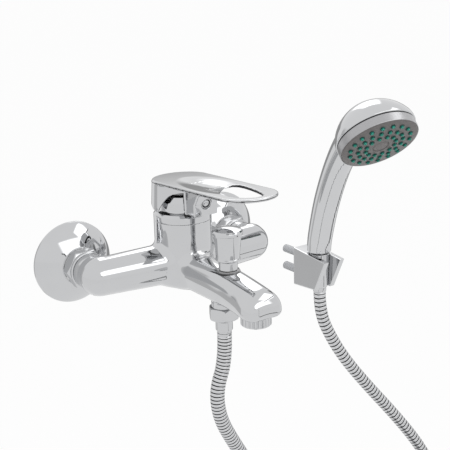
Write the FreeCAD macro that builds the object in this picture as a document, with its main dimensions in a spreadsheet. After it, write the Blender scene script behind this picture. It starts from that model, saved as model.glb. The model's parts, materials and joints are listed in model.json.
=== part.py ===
"""Wall-mounted bath mixer with a diverter, a hand shower on its hose and a wall bracket.

Millimetres. The wall is the plane Y = 0 and the mixer stands out of it towards -Y. +Z is up, and the
origin lies on the wall, midway between the two water inlets.
"""

import FreeCAD, Part
import math
import os
import re

import Sketcher

Vector = FreeCAD.Vector
Rotation = FreeCAD.Rotation
Placement = FreeCAD.Placement

# Driving sizes

SIZES = {
    # tools that cut holes run past the faces that they open
    "tool_overrun": 1.0,
    "tool_overlap": 0.01,
    "through_cut": 60.0,
    # wall connection
    "inlet_spacing": 150.0,
    "inlet_thread_radius": 10.48,
    "inlet_thread_length": 18.0,
    "inlet_offset": 4.0,
    "union_thread_radius": 13.1,
    "union_length": 24.0,
    "union_waist_radius": 9.0,
    "union_front_start": 3.0,
    "union_bore_start": 4.0,
    "union_bore_step": 1.5,
    "union_bore_cross": 9.0,
    "water_bore": 6.5,
    "flange_radius": 35.0,
    "flange_depth": 17.0,
    "flange_neck_radius": 16.2,
    "flange_lip": 2.2,
    "flange_wall": 1.2,
    "flange_collar": 1.0,
    "flange_inner_collar": 1.4,
    "flange_sweep_radius": 60.0,
    "union_nut_flats": 30.0,
    "union_nut_start": 17.5,
    "union_nut_hex_length": 10.5,
    "union_nut_collar_length": 3.5,
    "union_nut_collar_radius": 15.4,
    "union_nut_chamfer": 1.4,
    "union_nut_floor": 2.0,
    "union_washer_thickness": 2.0,
    "washer_clearance": 0.3,
    "tail_flange_radius": 12.9,
    "tail_flange_thickness": 2.5,
    "tail_radius": 9.5,
    "tail_depth": 9.0,
    "tail_neck": 4.0,
    "tail_clearance": 0.2,
    "tail_fit": 0.02,
    "tail_bore_lip": 0.05,
    # casting
    "boss_face": 32.0,
    "boss_radius": 14.6,
    "arm_setback": 51.0,
    "arm_end_radius": 15.6,
    "arm_root_radius": 17.6,
    "arm_root_height": 1.5,
    "tower_setback": 60.0,
    "tower_radius": 24.1,
    "tower_top": 38.0,
    "tower_bottom": -19.5,
    "bowl_rise": 13.64,
    "bowl_middle_rise": 3.96,
    "bowl_middle_inset": 2.41,
    "bowl_foot_inset": 10.845,
    "spout_reach": 175.5,
    "spout_half_width": 18.0,
    "spout_root_half_width": 20.0,
    "spout_root_top": 13.0,
    "spout_nose_top": 0.5,
    "spout_knee_rise": 2.5,
    "spout_nose_drop": 3.0,
    "nose_overrun": 2.0,
    "spout_hip_reach": 30.0,
    "spout_hip_drop": 3.0,
    "spout_crown": 1.2,
    "spout_floor": -17.0,
    "spout_top_round": 8.0,
    "spout_floor_round": 4.0,
    "channel_radius": 6.5,
    "outlet_channel_radius": 5.5,
    "elbow_radius": 7.5,
    "channel_height": -5.0,
    # cartridge
    "cartridge_floor": 5.0,
    "cartridge_radius": 17.6,
    "cartridge_clearance": 0.3,
    "cartridge_shoulder": 35.2,
    "cartridge_wall": 2.2,
    "cartridge_neck_radius": 13.6,
    "cartridge_neck_bore": 11.0,
    "cartridge_top": 45.0,
    "base_flange_thickness": 3.0,
    "base_top": 12.0,
    "base_port_radius": 3.0,
    "base_port_pitch": 9.0,
    "base_port_setback": 2.0,
    "seal_radius": 4.4,
    "seal_width": 1.3,
    "seal_height": 1.3,
    "seal_clearance": 0.1,
    "disc_thickness": 4.0,
    "fixed_disc_radius": 14.8,
    "disc_port_radius": 2.5,
    "moving_disc_radius": 10.0,
    "moving_disc_rim": 3.0,
    "holder_height": 8.2,
    "driver_start": 28.5,
    "driver_plate_thickness": 4.5,
    "driver_plate_radius": 15.0,
    "driver_neck_radius": 10.7,
    "driver_neck_recess": 0.6,
    "driver_slot_half_width": 4.6,
    "driver_slot_half_length": 7.0,
    "pivot_height": 40.0,
    "pivot_pin_radius": 1.5,
    "pivot_pin_inset": 1.0,
    "pin_bore_length": 40.0,
    "running_clearance": 0.05,
    "stem_half_width": 4.0,
    "stem_top": 66.5,
    "stem_foot_half_width": 2.3,
    "stem_foot_bottom": 24.0,
    "stem_foot_clearance": 0.3,
    "stem_foot_gap": 0.8,
    "holder_pocket_half_length": 3.6,
    "nut_thread_radius": 19.8,
    "nut_flange_radius": 21.7,
    "nut_flange_height": 4.0,
    "cover_ring_top": 45.0,
    "cover_barrel_radius": 19.0,
    "cover_top": 60.5,
    "cover_wall": 2.0,
    "cover_edge_radius": 3.0,
    "cover_chamfer": 1.3,
    "cover_shoulder_width": 0.8,
    "cover_shoulder_drop": 0.7,
    "cover_roof": 1.8,
    # lever
    "lever_plane": 71.9,
    "lever_tilt": 2.9,
    "lever_thickness": 6.0,
    "lever_back_radius": 26.0,
    "lever_tip_radius": 23.5,
    "lever_tip_centre": 92.5,
    "lever_edge_round": 2.4,
    "lever_hole_radius": 14.0,
    "lever_hole_back_radius": 12.0,
    "lever_hole_front": 92.0,
    "lever_hole_back": 66.0,
    "lever_dish_radius": 34.0,
    "lever_dish_depth": 4.5,
    "skirt_radius": 27.6,
    "skirt_wall": 1.8,
    "skirt_bottom": 48.0,
    "skirt_back_rise": 9.0,
    "skirt_back_start": 2.9,
    "skirt_back_flat": 8.0,
    "skirt_back_flat_rise": 1.5,
    "skirt_overlap": 1.0,
    "arch_top": 64.0,
    "arch_start": 3.0,
    "arch_turn": 15.0,
    "arch_turn_drop": 2.0,
    "arch_crown": 21.0,
    "arch_sweep_radius": 26.0,
    "neck_half_width": 10.0,
    "neck_bottom": 50.0,
    "neck_reach": 36.0,
    "neck_toe": 4.5,
    "neck_toe_rise": 1.0,
    "neck_flare": 6.0,
    "neck_flare_top": 13.0,
    "hub_radius": 7.8,
    "hub_bottom": 62.0,
    "stem_clearance": 0.1,
    "stem_top_gap": 0.2,
    "plug_radius": 4.6,
    "plug_thickness": 2.2,
    "plug_gap": 0.2,
    "plug_height": 57.5,
    "grub_radius": 2.5,
    "grub_length": 11.5,
    "grub_gap": 0.8,
    "grub_key_depth": 2.0,
    "grub_slope": 16.0,
    # diverter
    "knob_setback": 125.0,
    "knob_top": 41.5,
    "knob_radius": 11.3,
    "knob_grip_radius": 9.3,
    "knob_waist_height": 20.5,
    "knob_neck_radius": 6.1,
    "knob_neck_bottom": 10.2,
    "knob_flare": 2.0,
    "knob_waist_band": 1.0,
    "knob_cap_height": 4.0,
    "knob_step": 0.8,
    "knob_step_height": 1.0,
    "knob_round": 2.0,
    "bush_seat": 6.5,
    "bush_radius": 9.3,
    "bush_collar_height": 3.3,
    "bush_thread_radius": 7.2,
    "bush_bottom": 1.0,
    "bush_chamfer": 0.8,
    "ring_slot_top": 2.4,
    "ring_slot_clearance": 0.1,
    "spindle_radius": 2.5,
    "spindle_bottom": -11.5,
    "spindle_top": 32.0,
    "spindle_clearance": 0.1,
    "valve_radius": 6.0,
    "valve_thickness": 2.5,
    "valve_foot": 0.5,
    "spring_pocket_radius": 5.3,
    "spring_seat": 6.0,
    "spring_radius": 4.2,
    "spring_wire_radius": 0.4,
    "spring_turns": 6,
    "diverter_ring_section": 0.8,
    # aerator
    "aerator_setback": 161.0,
    "aerator_radius": 12.0,
    "aerator_drop": 8.0,
    "aerator_thread_radius": 10.8,
    "aerator_thread_length": 8.0,
    "aerator_bore": 9.4,
    "aerator_groove_radius": 0.7,
    "aerator_grooves": 24,
    "aerator_groove_top": 1.2,
    "aerator_chamfer": 0.8,
    "aerator_insert_recess": 1.5,
    "aerator_jet_radius": 0.9,
    "aerator_jet_pitch": 3.0,
    "aerator_washer_thickness": 1.5,
    "aerator_washer_bore": 8.0,
    # shower outlet and hose
    "outlet_setback": 117.0,
    "nipple_radius": 9.9,
    "nipple_stub_radius": 8.9,
    "nipple_bottom": -33.0,
    "nipple_top": -12.5,
    "nipple_bore": 5.5,
    "hose_nut_flats": 22.5,
    "hose_nut_top": -22.0,
    "hose_nut_bottom": -37.0,
    "hose_nut_floor": 2.0,
    "hose_nut_chamfer": 1.2,
    "hose_washer_thickness": 1.0,
    "thread_clearance": 0.15,
    "ferrule_neck_radius": 6.3,
    "ferrule_radius": 7.0,
    "ferrule_end": -48.0,
    "ferrule_flange_thickness": 1.0,
    "ferrule_bore": 4.2,
    "ferrule_clearance": 0.2,
    "hose_straight": 23.0,
    "hose_radius": 6.0,
    "hose_valley_radius": 5.3,
    "hose_bore": 4.0,
    "mixer_ribs": 51,
    "handset_ribs": 68,
    "coil_x": 236.0,
    "coil_height": -345.0,
    "coil_radius": 60.0,
    "coil_front": 98.0,
    "coil_pitch": 13.0,
    "coil_start_angle": 235.0,
    "coil_whole_turns": 2,
    "coil_lead": 14.0,
    "coil_approach": 45.0,
    "coil_departure": 40.0,
    "tie_wall": 1.2,
    "tie_width": 9.0,
    "tie_clearance": 0.4,
    # hand shower bracket
    "bracket_x": 175.5,
    "bracket_setback": 25.5,
    "bracket_half_width": 12.4,
    "bracket_depth": 48.0,
    "bracket_top": -36.0,
    "bracket_front_top": -40.6,
    "bracket_bottom": -74.2,
    "bracket_front_bottom": -71.8,
    "bracket_foot_depth": 33.0,
    "bracket_slot_half_width": 6.9,
    "bracket_round": 1.0,
    "socket_clearance": 0.3,
    "socket_overrun": 10.0,
    "screw_radius": 2.1,
    "screw_head_radius": 3.9,
    "screw_head_height": 2.4,
    "screw_clearance": 0.1,
    "screw_head_clearance": 0.3,
    "screw_seat_height": 4.0,
    "screw_length": 26.0,
    "screw_spacing": 18.0,
    "screw_centre": -55.0,
    "bracket_back_wall": 4.0,
    "wall_plug_radius": 4.0,
    "wall_plug_length": 28.0,
    "wall_plug_floor": 4.0,
    # hand shower
    "handset_swing": -11.0,
    "handset_base": -36.0,
    "handle_radius": 11.6,
    "handle_top_radius": 13.5,
    "handle_wall": 2.2,
    "handle_floor": 4.0,
    "head_forward": 104.9,
    "head_height": 89.6,
    "head_pitch": 45.9,
    "dome_radius": 37.5,
    "dome_depth": 29.0,
    "dome_corner_radius": 22.0,
    "dome_wall": 2.2,
    "ring_radius": 35.0,
    "ring_depth": 8.0,
    "ring_spigot": 3.0,
    "ring_lip": 0.4,
    "ring_chamfer": 1.0,
    "plate_radius": 30.4,
    "plate_thickness": 3.5,
    "plate_crown": 3.0,
    "plate_inset": 1.0,
    "plate_clearance": 0.2,
    "mat_thickness": 2.0,
    "nozzle_radius": 1.25,
    "nozzle_hole_radius": 1.5,
    "nozzle_height": 1.6,
    "nozzle_root": 6.0,
    "outer_nozzle_ring": 27.0,
    "middle_nozzle_ring": 20.0,
    "inner_nozzle_ring": 13.5,
    "outer_nozzles": 18,
    "middle_nozzles": 16,
    "inner_nozzles": 12,
    "cap_radius": 7.0,
    "cap_recess": 1.0,
    "cap_height": 0.8,
    "face_screw_radius": 1.75,
    "face_screw_head_radius": 3.6,
    "face_screw_head_height": 1.2,
    "face_screw_length": 18.0,
    "face_screw_thread": 16.0,
    "face_screw_drive_floor": 0.5,
    "face_post_radius": 5.0,
    "face_post_foot": 1.5,
    "face_post_gap": 0.1,
    "head_seal_section": 0.9,
    "inner_tube_radius": 5.2,
    "inner_tube_bore": 3.8,
    "inner_tube_gap": 0.02,
    "inner_tube_straight": 17.0,
    "inlet_stub_radius": 7.2,
    "inlet_stub_bore": 4.5,
    "inlet_stub_end": -50.0,
    "hand_washer_thickness": 1.5,
    "hand_ferrule_radius": 6.4,
    "hand_ferrule_flange": 2.0,
    "hand_ferrule_end": -77.0,
    "cone_top": -37.5,
    "cone_bottom": -72.0,
    "cone_top_radius": 9.8,
    "cone_bottom_radius": 7.6,
}

# Bounds and margins for picking edges
FAR = 1000
TOLERANCE = 0.01

doc = FreeCAD.newDocument("bath_mixer")
sheet = doc.addObject("Spreadsheet::Sheet", "Sizes")
for row, (alias, value) in enumerate(SIZES.items(), 1):
    sheet.set(f"A{row}", alias)
    sheet.set(f"B{row}", str(value))
    sheet.setAlias(f"B{row}", alias)
doc.recompute()


def cells(text):
    """An expression in the sheet's aliases, as the document reads it."""
    text = str(text)
    return re.sub(r"[a-z]\w*", lambda w: "Sizes." + w[0] if w[0] in SIZES else w[0], text)


def num(text):
    """The value of an expression in the sheet's aliases."""
    return float(sheet.evalExpression(cells(text)))


# Directions that a piece's own Z axis can point in
WAYS = {
    "up": Rotation(),
    "down": Rotation(Vector(1, 0, 0), 180),
    "out": Rotation(Vector(1, 0, 0), 90),
    "wall": Rotation(Vector(1, 0, 0), -90),
    "right": Rotation(Vector(0, 1, 0), 90),
    "left": Rotation(Vector(0, 1, 0), -90),
}

NODES = []


def node(piece, label):
    """Marks a piece as a sub-part with a file of its own."""
    piece.Label = label
    NODES.append(piece)
    return piece


def put(piece, at=("0", "0", "0"), way="up"):
    """Turns a piece and binds its place to the sheet."""
    piece.Placement = Placement(Vector(*(num(c) for c in at)), WAYS[way])
    for axis, place in zip("xyz", at):
        if place != "0":
            piece.setExpression(f"Placement.Base.{axis}", cells(place))
    return piece


def rod(name, radius, height, at=("0", "0", "0"), way="up"):
    piece = doc.addObject("Part::Cylinder", name)
    piece.setExpression("Radius", cells(radius))
    piece.setExpression("Height", cells(height))
    return put(piece, at, way)


def cone(name, radius, end_radius, height, at=("0", "0", "0"), way="up"):
    piece = doc.addObject("Part::Cone", name)
    piece.setExpression("Radius1", cells(radius))
    piece.setExpression("Radius2", cells(end_radius))
    piece.setExpression("Height", cells(height))
    return put(piece, at, way)


def block(name, length, width, height, at=("0", "0", "0"), way="up"):
    piece = doc.addObject("Part::Box", name)
    piece.setExpression("Length", cells(length))
    piece.setExpression("Width", cells(width))
    piece.setExpression("Height", cells(height))
    return put(piece, at, way)


def hexagon(name, flats, height, at=("0", "0", "0"), way="up"):
    piece = doc.addObject("Part::Prism", name)
    piece.Polygon = 6
    piece.setExpression("Circumradius", cells(f"{flats} / 2 / cos(30)"))
    piece.setExpression("Height", cells(height))
    return put(piece, at, way)


def fuse(name, *pieces):
    joined = doc.addObject("Part::MultiFuse", name)
    joined.Shapes = list(pieces)
    return joined


def common(name, base, tool):
    shared = doc.addObject("Part::Common", name)
    shared.Base = base
    shared.Tool = tool
    return shared


def cut(name, base, *tools):
    less = doc.addObject("Part::Cut", name)
    less.Base = base
    less.Tool = tools[0] if len(tools) == 1 else fuse(name + "_tools", *tools)
    return less


def origin_plane(body, role):
    return next(f for f in body.Origin.OriginFeatures if f.Role == role)


def outline(body, name, role, points, arcs=None):
    """A closed sketch on one of a body's planes. Each corner is bound to the sheet. arcs gives the
    radius of a side that is an arc, and 1 if its centre is to the left of the way round, or -1."""
    arcs = arcs or {}
    sketch = body.newObject("Sketcher::SketchObject", name)
    sketch.AttachmentSupport = [(origin_plane(body, role), "")]
    sketch.MapMode = "FlatFace"
    corners = [Vector(num(a), num(b), 0) for a, b in points]
    sides = []
    for i, start in enumerate(corners):
        end = corners[(i + 1) % len(corners)]
        if i not in arcs:
            sides.append((sketch.addGeometry(Part.LineSegment(start, end), False), 1, 2))
            continue
        radius, side = num(arcs[i][0]), arcs[i][1]
        chord = end - start
        square = Vector(-chord.y, chord.x, 0).normalize()
        rise = math.sqrt(max(radius**2 - chord.Length**2 / 4, 0))
        centre = (start + end) / 2 + square * side * rise
        first, last = (start, end) if side > 0 else (end, start)
        a = math.atan2(first.y - centre.y, first.x - centre.x)
        b = math.atan2(last.y - centre.y, last.x - centre.x)
        circle = Part.Circle(centre, Vector(0, 0, 1), radius)
        arc = Part.ArcOfCircle(circle, a, b if b > a else b + 2 * math.pi)
        ends = (1, 2) if side > 0 else (2, 1)
        sides.append((sketch.addGeometry(arc, False), *ends))
    for i, (k, _, end) in enumerate(sides):
        k2, start2, _ = sides[(i + 1) % len(sides)]
        sketch.addConstraint(Sketcher.Constraint("Coincident", k, end, k2, start2))
    for (k, start, _), corner in zip(sides, points):
        for kind, place, axis in zip(("DistanceX", "DistanceY"), corner, (-2, -1)):
            if place == "0":
                sketch.addConstraint(Sketcher.Constraint("PointOnObject", k, start, axis))
                continue
            rule = Sketcher.Constraint(kind, -1, 1, k, start, num(place))
            index = sketch.addConstraint(rule)
            sketch.setExpression(f"Constraints[{index}]", cells(place))
    for i, (radius, _) in arcs.items():
        chord = corners[(i + 1) % len(corners)] - corners[i]
        if abs(chord.Length / 2 - num(radius)) < 1e-6:
            half = sides[i][0]
            sketch.addConstraint(Sketcher.Constraint("Symmetric", half, 1, half, 2, half, 3))
            continue
        index = sketch.addConstraint(Sketcher.Constraint("Radius", sides[i][0], num(radius)))
        sketch.setExpression(f"Constraints[{index}]", cells(radius))
    return sketch


def turned(name, points, at=("0", "0", "0"), way="up", arcs=None):
    """A body turned about its own Z axis, from corners given as radius and height."""
    body = doc.addObject("PartDesign::Body", name)
    sketch = outline(body, name + "_profile", "XZ_Plane", points, arcs)
    turn = body.newObject("PartDesign::Revolution", name + "_turn")
    turn.Profile = sketch
    turn.ReferenceAxis = (sketch, ["V_Axis"])
    turn.Angle = 360
    return put(body, at, way)


def tube(name, radius, bore, start, end, at=("0", "0", "0"), way="up"):
    """A plain ring or sleeve between two heights on its own Z axis."""
    corners = [(bore, start), (radius, start), (radius, end), (bore, end)]
    return turned(name, corners, at, way)


def slab(name, role, points, thickness, at=("0", "0", "0"), arcs=None):
    """A body padded from an outline, half of its thickness to each side of its plane."""
    body = doc.addObject("PartDesign::Body", name)
    sketch = outline(body, name + "_outline", role, points, arcs)
    pad = body.newObject("PartDesign::Pad", name + "_pad")
    pad.Profile = sketch
    pad.Midplane = True
    pad.setExpression("Length", cells(thickness))
    return put(body, at)


def soften(body, name, radius, chosen):
    """Rounds those edges of a body that chosen accepts."""
    doc.recompute()
    last = body.Tip
    rims = [f"Edge{i}" for i, e in enumerate(body.Shape.Edges, 1) if chosen(e)]
    rounded = body.newObject("PartDesign::Fillet", name)
    rounded.Base = (last, rims)
    rounded.setExpression("Radius", cells(radius))
    doc.recompute()


def shape_node(label, shape, place=None):
    """A sub-part whose shape comes from Part's own functions, with sizes read from the sheet."""
    piece = doc.addObject("Part::Feature", label)
    piece.Shape = shape
    piece.Placement = place or Placement()
    return node(piece, label)


def between(edge, low, high):
    """Whether an edge's middle lies in a box."""
    middle = edge.BoundBox.Center
    return all(a <= m <= b for a, m, b in zip(low, (middle.x, middle.y, middle.z), high))


# Wall connections, one set on each side

def wall_connection(side, sign):
    """The eccentric union, flange, nut, washer and tail piece of one inlet."""
    x = f"{sign} * inlet_spacing / 2"
    union_body = fuse(
        f"union_outside_{side}",
        rod(f"wall_thread_{side}", "inlet_thread_radius", "inlet_thread_length",
            (x, "0", "-inlet_offset"), "wall"),
        rod(f"union_waist_{side}", "union_waist_radius", "union_length / 2",
            (x, "0", "-inlet_offset"), "out"),
        rod(f"union_front_{side}", "union_thread_radius", "union_length - union_front_start",
            (x, "-union_front_start", "0"), "out"),
    )
    union = cut(
        f"union_{side}",
        union_body,
        rod(f"wall_bore_{side}", "water_bore", "inlet_thread_length + tool_overrun + union_bore_cross",
            (x, "inlet_thread_length + tool_overrun", "-inlet_offset"), "out"),
        rod(f"front_bore_{side}", "water_bore + union_bore_step", "union_length",
            (x, "-union_bore_start", "0"), "out"),
    )
    node(union, f"s_union_{side}")
    neck = "flange_neck_radius"
    flange = turned(
        f"flange_body_{side}",
        [
            ("flange_radius", "0"),
            ("flange_radius", "flange_lip"),
            (neck, "flange_depth - flange_collar"),
            (neck, "flange_depth"),
            (f"{neck} - flange_wall", "flange_depth"),
            (f"{neck} - flange_wall", "flange_depth - flange_inner_collar"),
            ("flange_radius - flange_wall", "flange_lip - flange_wall"),
            ("flange_radius - flange_wall", "0"),
        ],
        (x, "0", "0"),
        "out",
        {1: ("flange_sweep_radius", 1), 5: ("flange_sweep_radius + flange_wall", -1)},
    )
    node(flange, f"flange_{side}")
    nut_end = "union_nut_start + union_nut_hex_length + union_nut_collar_length"
    hexed = common(
        f"nut_hex_{side}",
        hexagon(f"nut_prism_{side}", "union_nut_flats", "union_nut_hex_length",
                (x, "-union_nut_start", "0"), "out"),
        turned(
            f"nut_chamfer_{side}",
            [
                ("0", "0"),
                ("union_nut_flats / 2", "0"),
                ("union_nut_flats / 2 / cos(30)", "union_nut_chamfer"),
                ("union_nut_flats / 2 / cos(30)", "union_nut_hex_length - union_nut_chamfer"),
                ("union_nut_flats / 2", "union_nut_hex_length"),
                ("0", "union_nut_hex_length"),
            ],
            (x, "-union_nut_start", "0"),
            "out",
        ),
    )
    collar = rod(f"nut_collar_{side}", "union_nut_collar_radius", "union_nut_collar_length",
                 (x, "-union_nut_start - union_nut_hex_length", "0"), "out")
    nut = cut(
        f"nut_{side}",
        fuse(f"nut_solid_{side}", hexed, collar),
        rod(f"nut_bore_{side}", "union_thread_radius + thread_clearance",
            f"{nut_end} - union_nut_start - union_nut_floor",
            (x, "-union_nut_start + tool_overlap", "0"), "out"),
        rod(f"nut_hole_{side}", "tail_radius + tail_clearance", "through_cut",
            (x, "-union_nut_start + tool_overlap", "0"), "out"),
    )
    node(nut, f"union_nut_{side}")
    washer = tube(f"washer_{side}", "union_thread_radius - washer_clearance",
                  "water_bore + union_bore_step", "0", "union_washer_thickness",
                   (x, "-union_length", "0"), "out")
    node(washer, f"union_washer_{side}")
    tail = turned(
        f"tail_{side}",
        [
            ("water_bore", "0"),
            ("tail_flange_radius", "0"),
            ("tail_flange_radius", "tail_flange_thickness"),
            ("tail_radius", "tail_flange_thickness"),
            ("tail_radius", "tail_flange_thickness + tail_depth + tail_neck"),
            ("water_bore", "tail_flange_thickness + tail_depth + tail_neck"),
        ],
        (x, "-union_length - union_washer_thickness", "0"),
        "out",
    )
    node(tail, f"inlet_tail_{side}")


wall_connection("left", -1)
wall_connection("right", 1)

# Casting: two arms, the tower and the spout, with their water ways

TOWER = ("0", "-tower_setback", "0")


def arm(sign):
    """One arm, a taper with a ball at its end, and the boss that turns back to the wall."""
    half = num("inlet_spacing") / 2
    end = Vector(sign * half, -num("arm_setback"), 0)
    root = Vector(0, -num("tower_setback"), num("arm_root_height"))
    run = root - end
    taper = Part.makeCone(num("arm_end_radius"), num("arm_root_radius"), run.Length, end, run)
    ball = Part.makeSphere(num("arm_end_radius"), end)
    reach = num("arm_setback - boss_face")
    boss = Part.makeCylinder(num("boss_radius"), reach, end, Vector(0, 1, 0))
    return [taper, ball, boss]


def spout_solid():
    """The spout: its side view and its plan, crossed, with its long edges rounded."""
    reach, root = num("spout_reach"), num("tower_setback")
    nose = num("spout_half_width")
    top_root, top_nose = num("spout_root_top"), num("spout_nose_top")
    floor = num("spout_floor")
    knee = Vector(0, -num("aerator_setback"), top_nose + num("spout_knee_rise"))
    hip = Vector(0, -root - num("spout_hip_reach"), top_root - num("spout_hip_drop"))
    middle = (hip + knee) / 2 + Vector(0, 0, num("spout_crown"))
    past = -reach - num("nose_overrun")
    nose_top = top_nose - num("spout_nose_drop")
    side = Part.Wire([
        Part.LineSegment(Vector(0, -root, floor), Vector(0, -root, top_root)).toShape(),
        Part.LineSegment(Vector(0, -root, top_root), hip).toShape(),
        Part.Arc(hip, middle, knee).toShape(),
        Part.LineSegment(knee, Vector(0, past, nose_top)).toShape(),
        Part.LineSegment(Vector(0, past, nose_top), Vector(0, past, floor)).toShape(),
        Part.LineSegment(Vector(0, past, floor), Vector(0, -root, floor)).toShape(),
    ])
    width = 3 * nose
    profile = Part.Face(side).extrude(Vector(width, 0, 0))
    profile.translate(Vector(-width / 2, 0, 0))
    wide = num("spout_root_half_width")
    turn = -reach + nose
    low = floor - num("tool_overrun")
    plan = Part.Wire([
        Part.LineSegment(Vector(-wide, -root, low), Vector(-nose, turn, low)).toShape(),
        Part.Arc(Vector(-nose, turn, low), Vector(0, -reach, low), Vector(nose, turn, low)).toShape(),
        Part.LineSegment(Vector(nose, turn, low), Vector(wide, -root, low)).toShape(),
        Part.LineSegment(Vector(wide, -root, low), Vector(-wide, -root, low)).toShape(),
    ])
    body = profile.common(Part.Face(plan).extrude(Vector(0, 0, num("through_cut")))).Solids[0]
    foot_round = num("spout_floor_round")
    front = -root - num("tool_overrun")
    rim = [e for e in body.Edges if between(e, (-FAR, -FAR, floor + foot_round), (FAR, front, FAR))
           and not vertical(e)]
    body = body.makeFillet(num("spout_top_round"), rim)
    foot = [e for e in body.Edges if between(e, (-FAR, -FAR, -FAR), (FAR, front, floor + TOLERANCE))]
    return body.makeFillet(foot_round, foot)


def vertical(edge):
    """Whether an edge is upright."""
    return edge.Length - edge.BoundBox.ZLength < TOLERANCE


def tower_solid():
    """The tower, with a round bowl below."""
    radius, top, bottom = num("tower_radius"), num("tower_top"), num("tower_bottom")
    rim = Vector(radius, 0, bottom + num("bowl_rise"))
    foot = Vector(radius - num("bowl_foot_inset"), 0, bottom)
    middle = Vector(radius - num("bowl_middle_inset"), 0, bottom + num("bowl_middle_rise"))
    half = Part.Wire([
        Part.LineSegment(Vector(0, 0, top), Vector(radius, 0, top)).toShape(),
        Part.LineSegment(Vector(radius, 0, top), rim).toShape(),
        Part.Arc(rim, middle, foot).toShape(),
        Part.LineSegment(foot, Vector(0, 0, bottom)).toShape(),
        Part.LineSegment(Vector(0, 0, bottom), Vector(0, 0, top)).toShape(),
    ])
    solid = Part.Face(half).revolve(Vector(0, 0, 0), Vector(0, 0, 1), 360)
    solid.translate(Vector(0, -num("tower_setback"), 0))
    return solid


def water_ways():
    """Everything that is bored out of the casting."""
    half = num("inlet_spacing") / 2
    setback, tower = num("arm_setback"), num("tower_setback")
    bore, deep = num("channel_radius"), num("channel_height")
    floor, top = num("cartridge_floor"), num("tower_top")
    up, out = Vector(0, 0, 1), Vector(0, -1, 0)
    gap = num("cartridge_clearance")
    seat = num("cartridge_shoulder")
    pitch, port = num("base_port_pitch"), num("base_port_radius")
    outlet_bore = num("outlet_channel_radius")
    past, beyond = num("tool_overrun"), num("through_cut")
    axis = Vector(0, -tower, 0)
    tools = [
        Part.makeCylinder(num("cartridge_radius") + gap, seat - floor, axis + up * floor, up),
        Part.makeCylinder(num("nut_thread_radius") + gap, top - seat + past, axis + up * seat, up),
    ]
    for sign in (-1, 1):
        face = Vector(sign * half, -num("boss_face - tail_bore_lip"), 0)
        depth = num("union_length + union_washer_thickness + tail_flange_thickness + tail_depth")
        depth += num("tail_neck + 2 * tail_bore_lip")
        tail_bore = num("tail_radius + tail_fit")
        tools.append(Part.makeCylinder(tail_bore, depth - num("boss_face"), face, out))
        tools.append(Part.makeCylinder(bore, setback - num("boss_face"), face, out))
        end = Vector(sign * half, -setback, 0)
        port_foot = Vector(sign * pitch, -tower + num("base_port_setback"), 0)
        tools.append(Part.makeCylinder(bore, (port_foot - end).Length, end, port_foot - end))
        tools.append(Part.makeSphere(num("elbow_radius"), end))
        tools.append(Part.makeCylinder(port, floor + past, port_foot, up))
    mixed = Vector(0, -tower - pitch, deep)
    tools.append(Part.makeCylinder(port, floor - deep + past, mixed, up))
    run = num("aerator_setback") - tower - pitch
    tools.append(Part.makeCylinder(outlet_bore, run, mixed, out))
    knob = Vector(0, -num("knob_setback"), 0)
    low = num("spindle_bottom - valve_foot")
    bush_seat = num("bush_seat")
    tools.append(Part.makeCylinder(num("bush_thread_radius"), bush_seat - low, knob + up * low, up))
    bush_bore = num("bush_radius + running_clearance")
    tools.append(Part.makeCylinder(bush_bore, beyond, knob + up * bush_seat, up))
    outlet = Vector(0, -num("outlet_setback"), num("spout_floor") - past)
    tools.append(Part.makeCylinder(num("nipple_stub_radius"),
                                   num("nipple_top - spout_floor") + past, outlet, up))
    tools.append(Part.makeCylinder(outlet_bore, deep - outlet.z, outlet, up))
    aerator = Vector(0, -num("aerator_setback"), num("spout_floor") - past)
    tools.append(Part.makeCylinder(num("aerator_thread_radius"),
                                   num("aerator_thread_length + aerator_washer_thickness") + past,
                                   aerator, up))
    return tools


def casting():
    """The casting, joined from its parts and bored."""
    solids = [tower_solid(), spout_solid()] + arm(-1) + arm(1)
    whole = solids[0].multiFuse(solids[1:]).removeSplitter()
    tools = water_ways()
    return whole.cut(tools[0].multiFuse(tools[1:]))


shape_node("body_casting", casting())

# Cartridge, from its seals up to the cover

base_outside = fuse(
    "base_outside",
    rod("base_flange", "cartridge_radius", "base_flange_thickness",
        ("0", "-tower_setback", "cartridge_floor")),
    rod("base_post", "cartridge_radius - cartridge_wall - cartridge_clearance", "base_top - cartridge_floor",
        ("0", "-tower_setback", "cartridge_floor")),
)
PORTS = {
    "left": ("-base_port_pitch", "-tower_setback + base_port_setback"),
    "right": ("base_port_pitch", "-tower_setback + base_port_setback"),
    "outlet": ("0", "-tower_setback - base_port_pitch"),
}
base_tools = []
for port, (x, y) in PORTS.items():
    base_tools.append(rod(f"base_hole_{port}", "base_port_radius",
                          "base_top - cartridge_floor + 2 * tool_overrun",
                          (x, y, "cartridge_floor - tool_overrun")))
    base_tools.append(rod(f"base_recess_{port}", "seal_radius + seal_clearance",
                          "seal_height + tool_overrun", (x, y, "cartridge_floor - tool_overrun")))
node(cut("cartridge_base_cut", base_outside, *base_tools), "cartridge_base")

seals = [
    tube(f"seal_{port}", "seal_radius", "seal_radius - seal_width", "0", "seal_height",
         (x, y, "cartridge_floor"))
    for port, (x, y) in PORTS.items()
]
seal_group = doc.addObject("Part::Compound", "seal_group")
seal_group.Links = seals
node(seal_group, "cartridge_seals")

fixed_disc = cut(
    "fixed_disc_cut",
    rod("fixed_disc_blank", "fixed_disc_radius", "disc_thickness",
        ("0", "-tower_setback", "base_top")),
    *[rod(f"disc_port_{port}", "disc_port_radius", "disc_thickness + 2 * tool_overrun",
          (x, y, "base_top - tool_overrun")) for port, (x, y) in PORTS.items()],
)
node(fixed_disc, "fixed_ceramic_disc")

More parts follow.
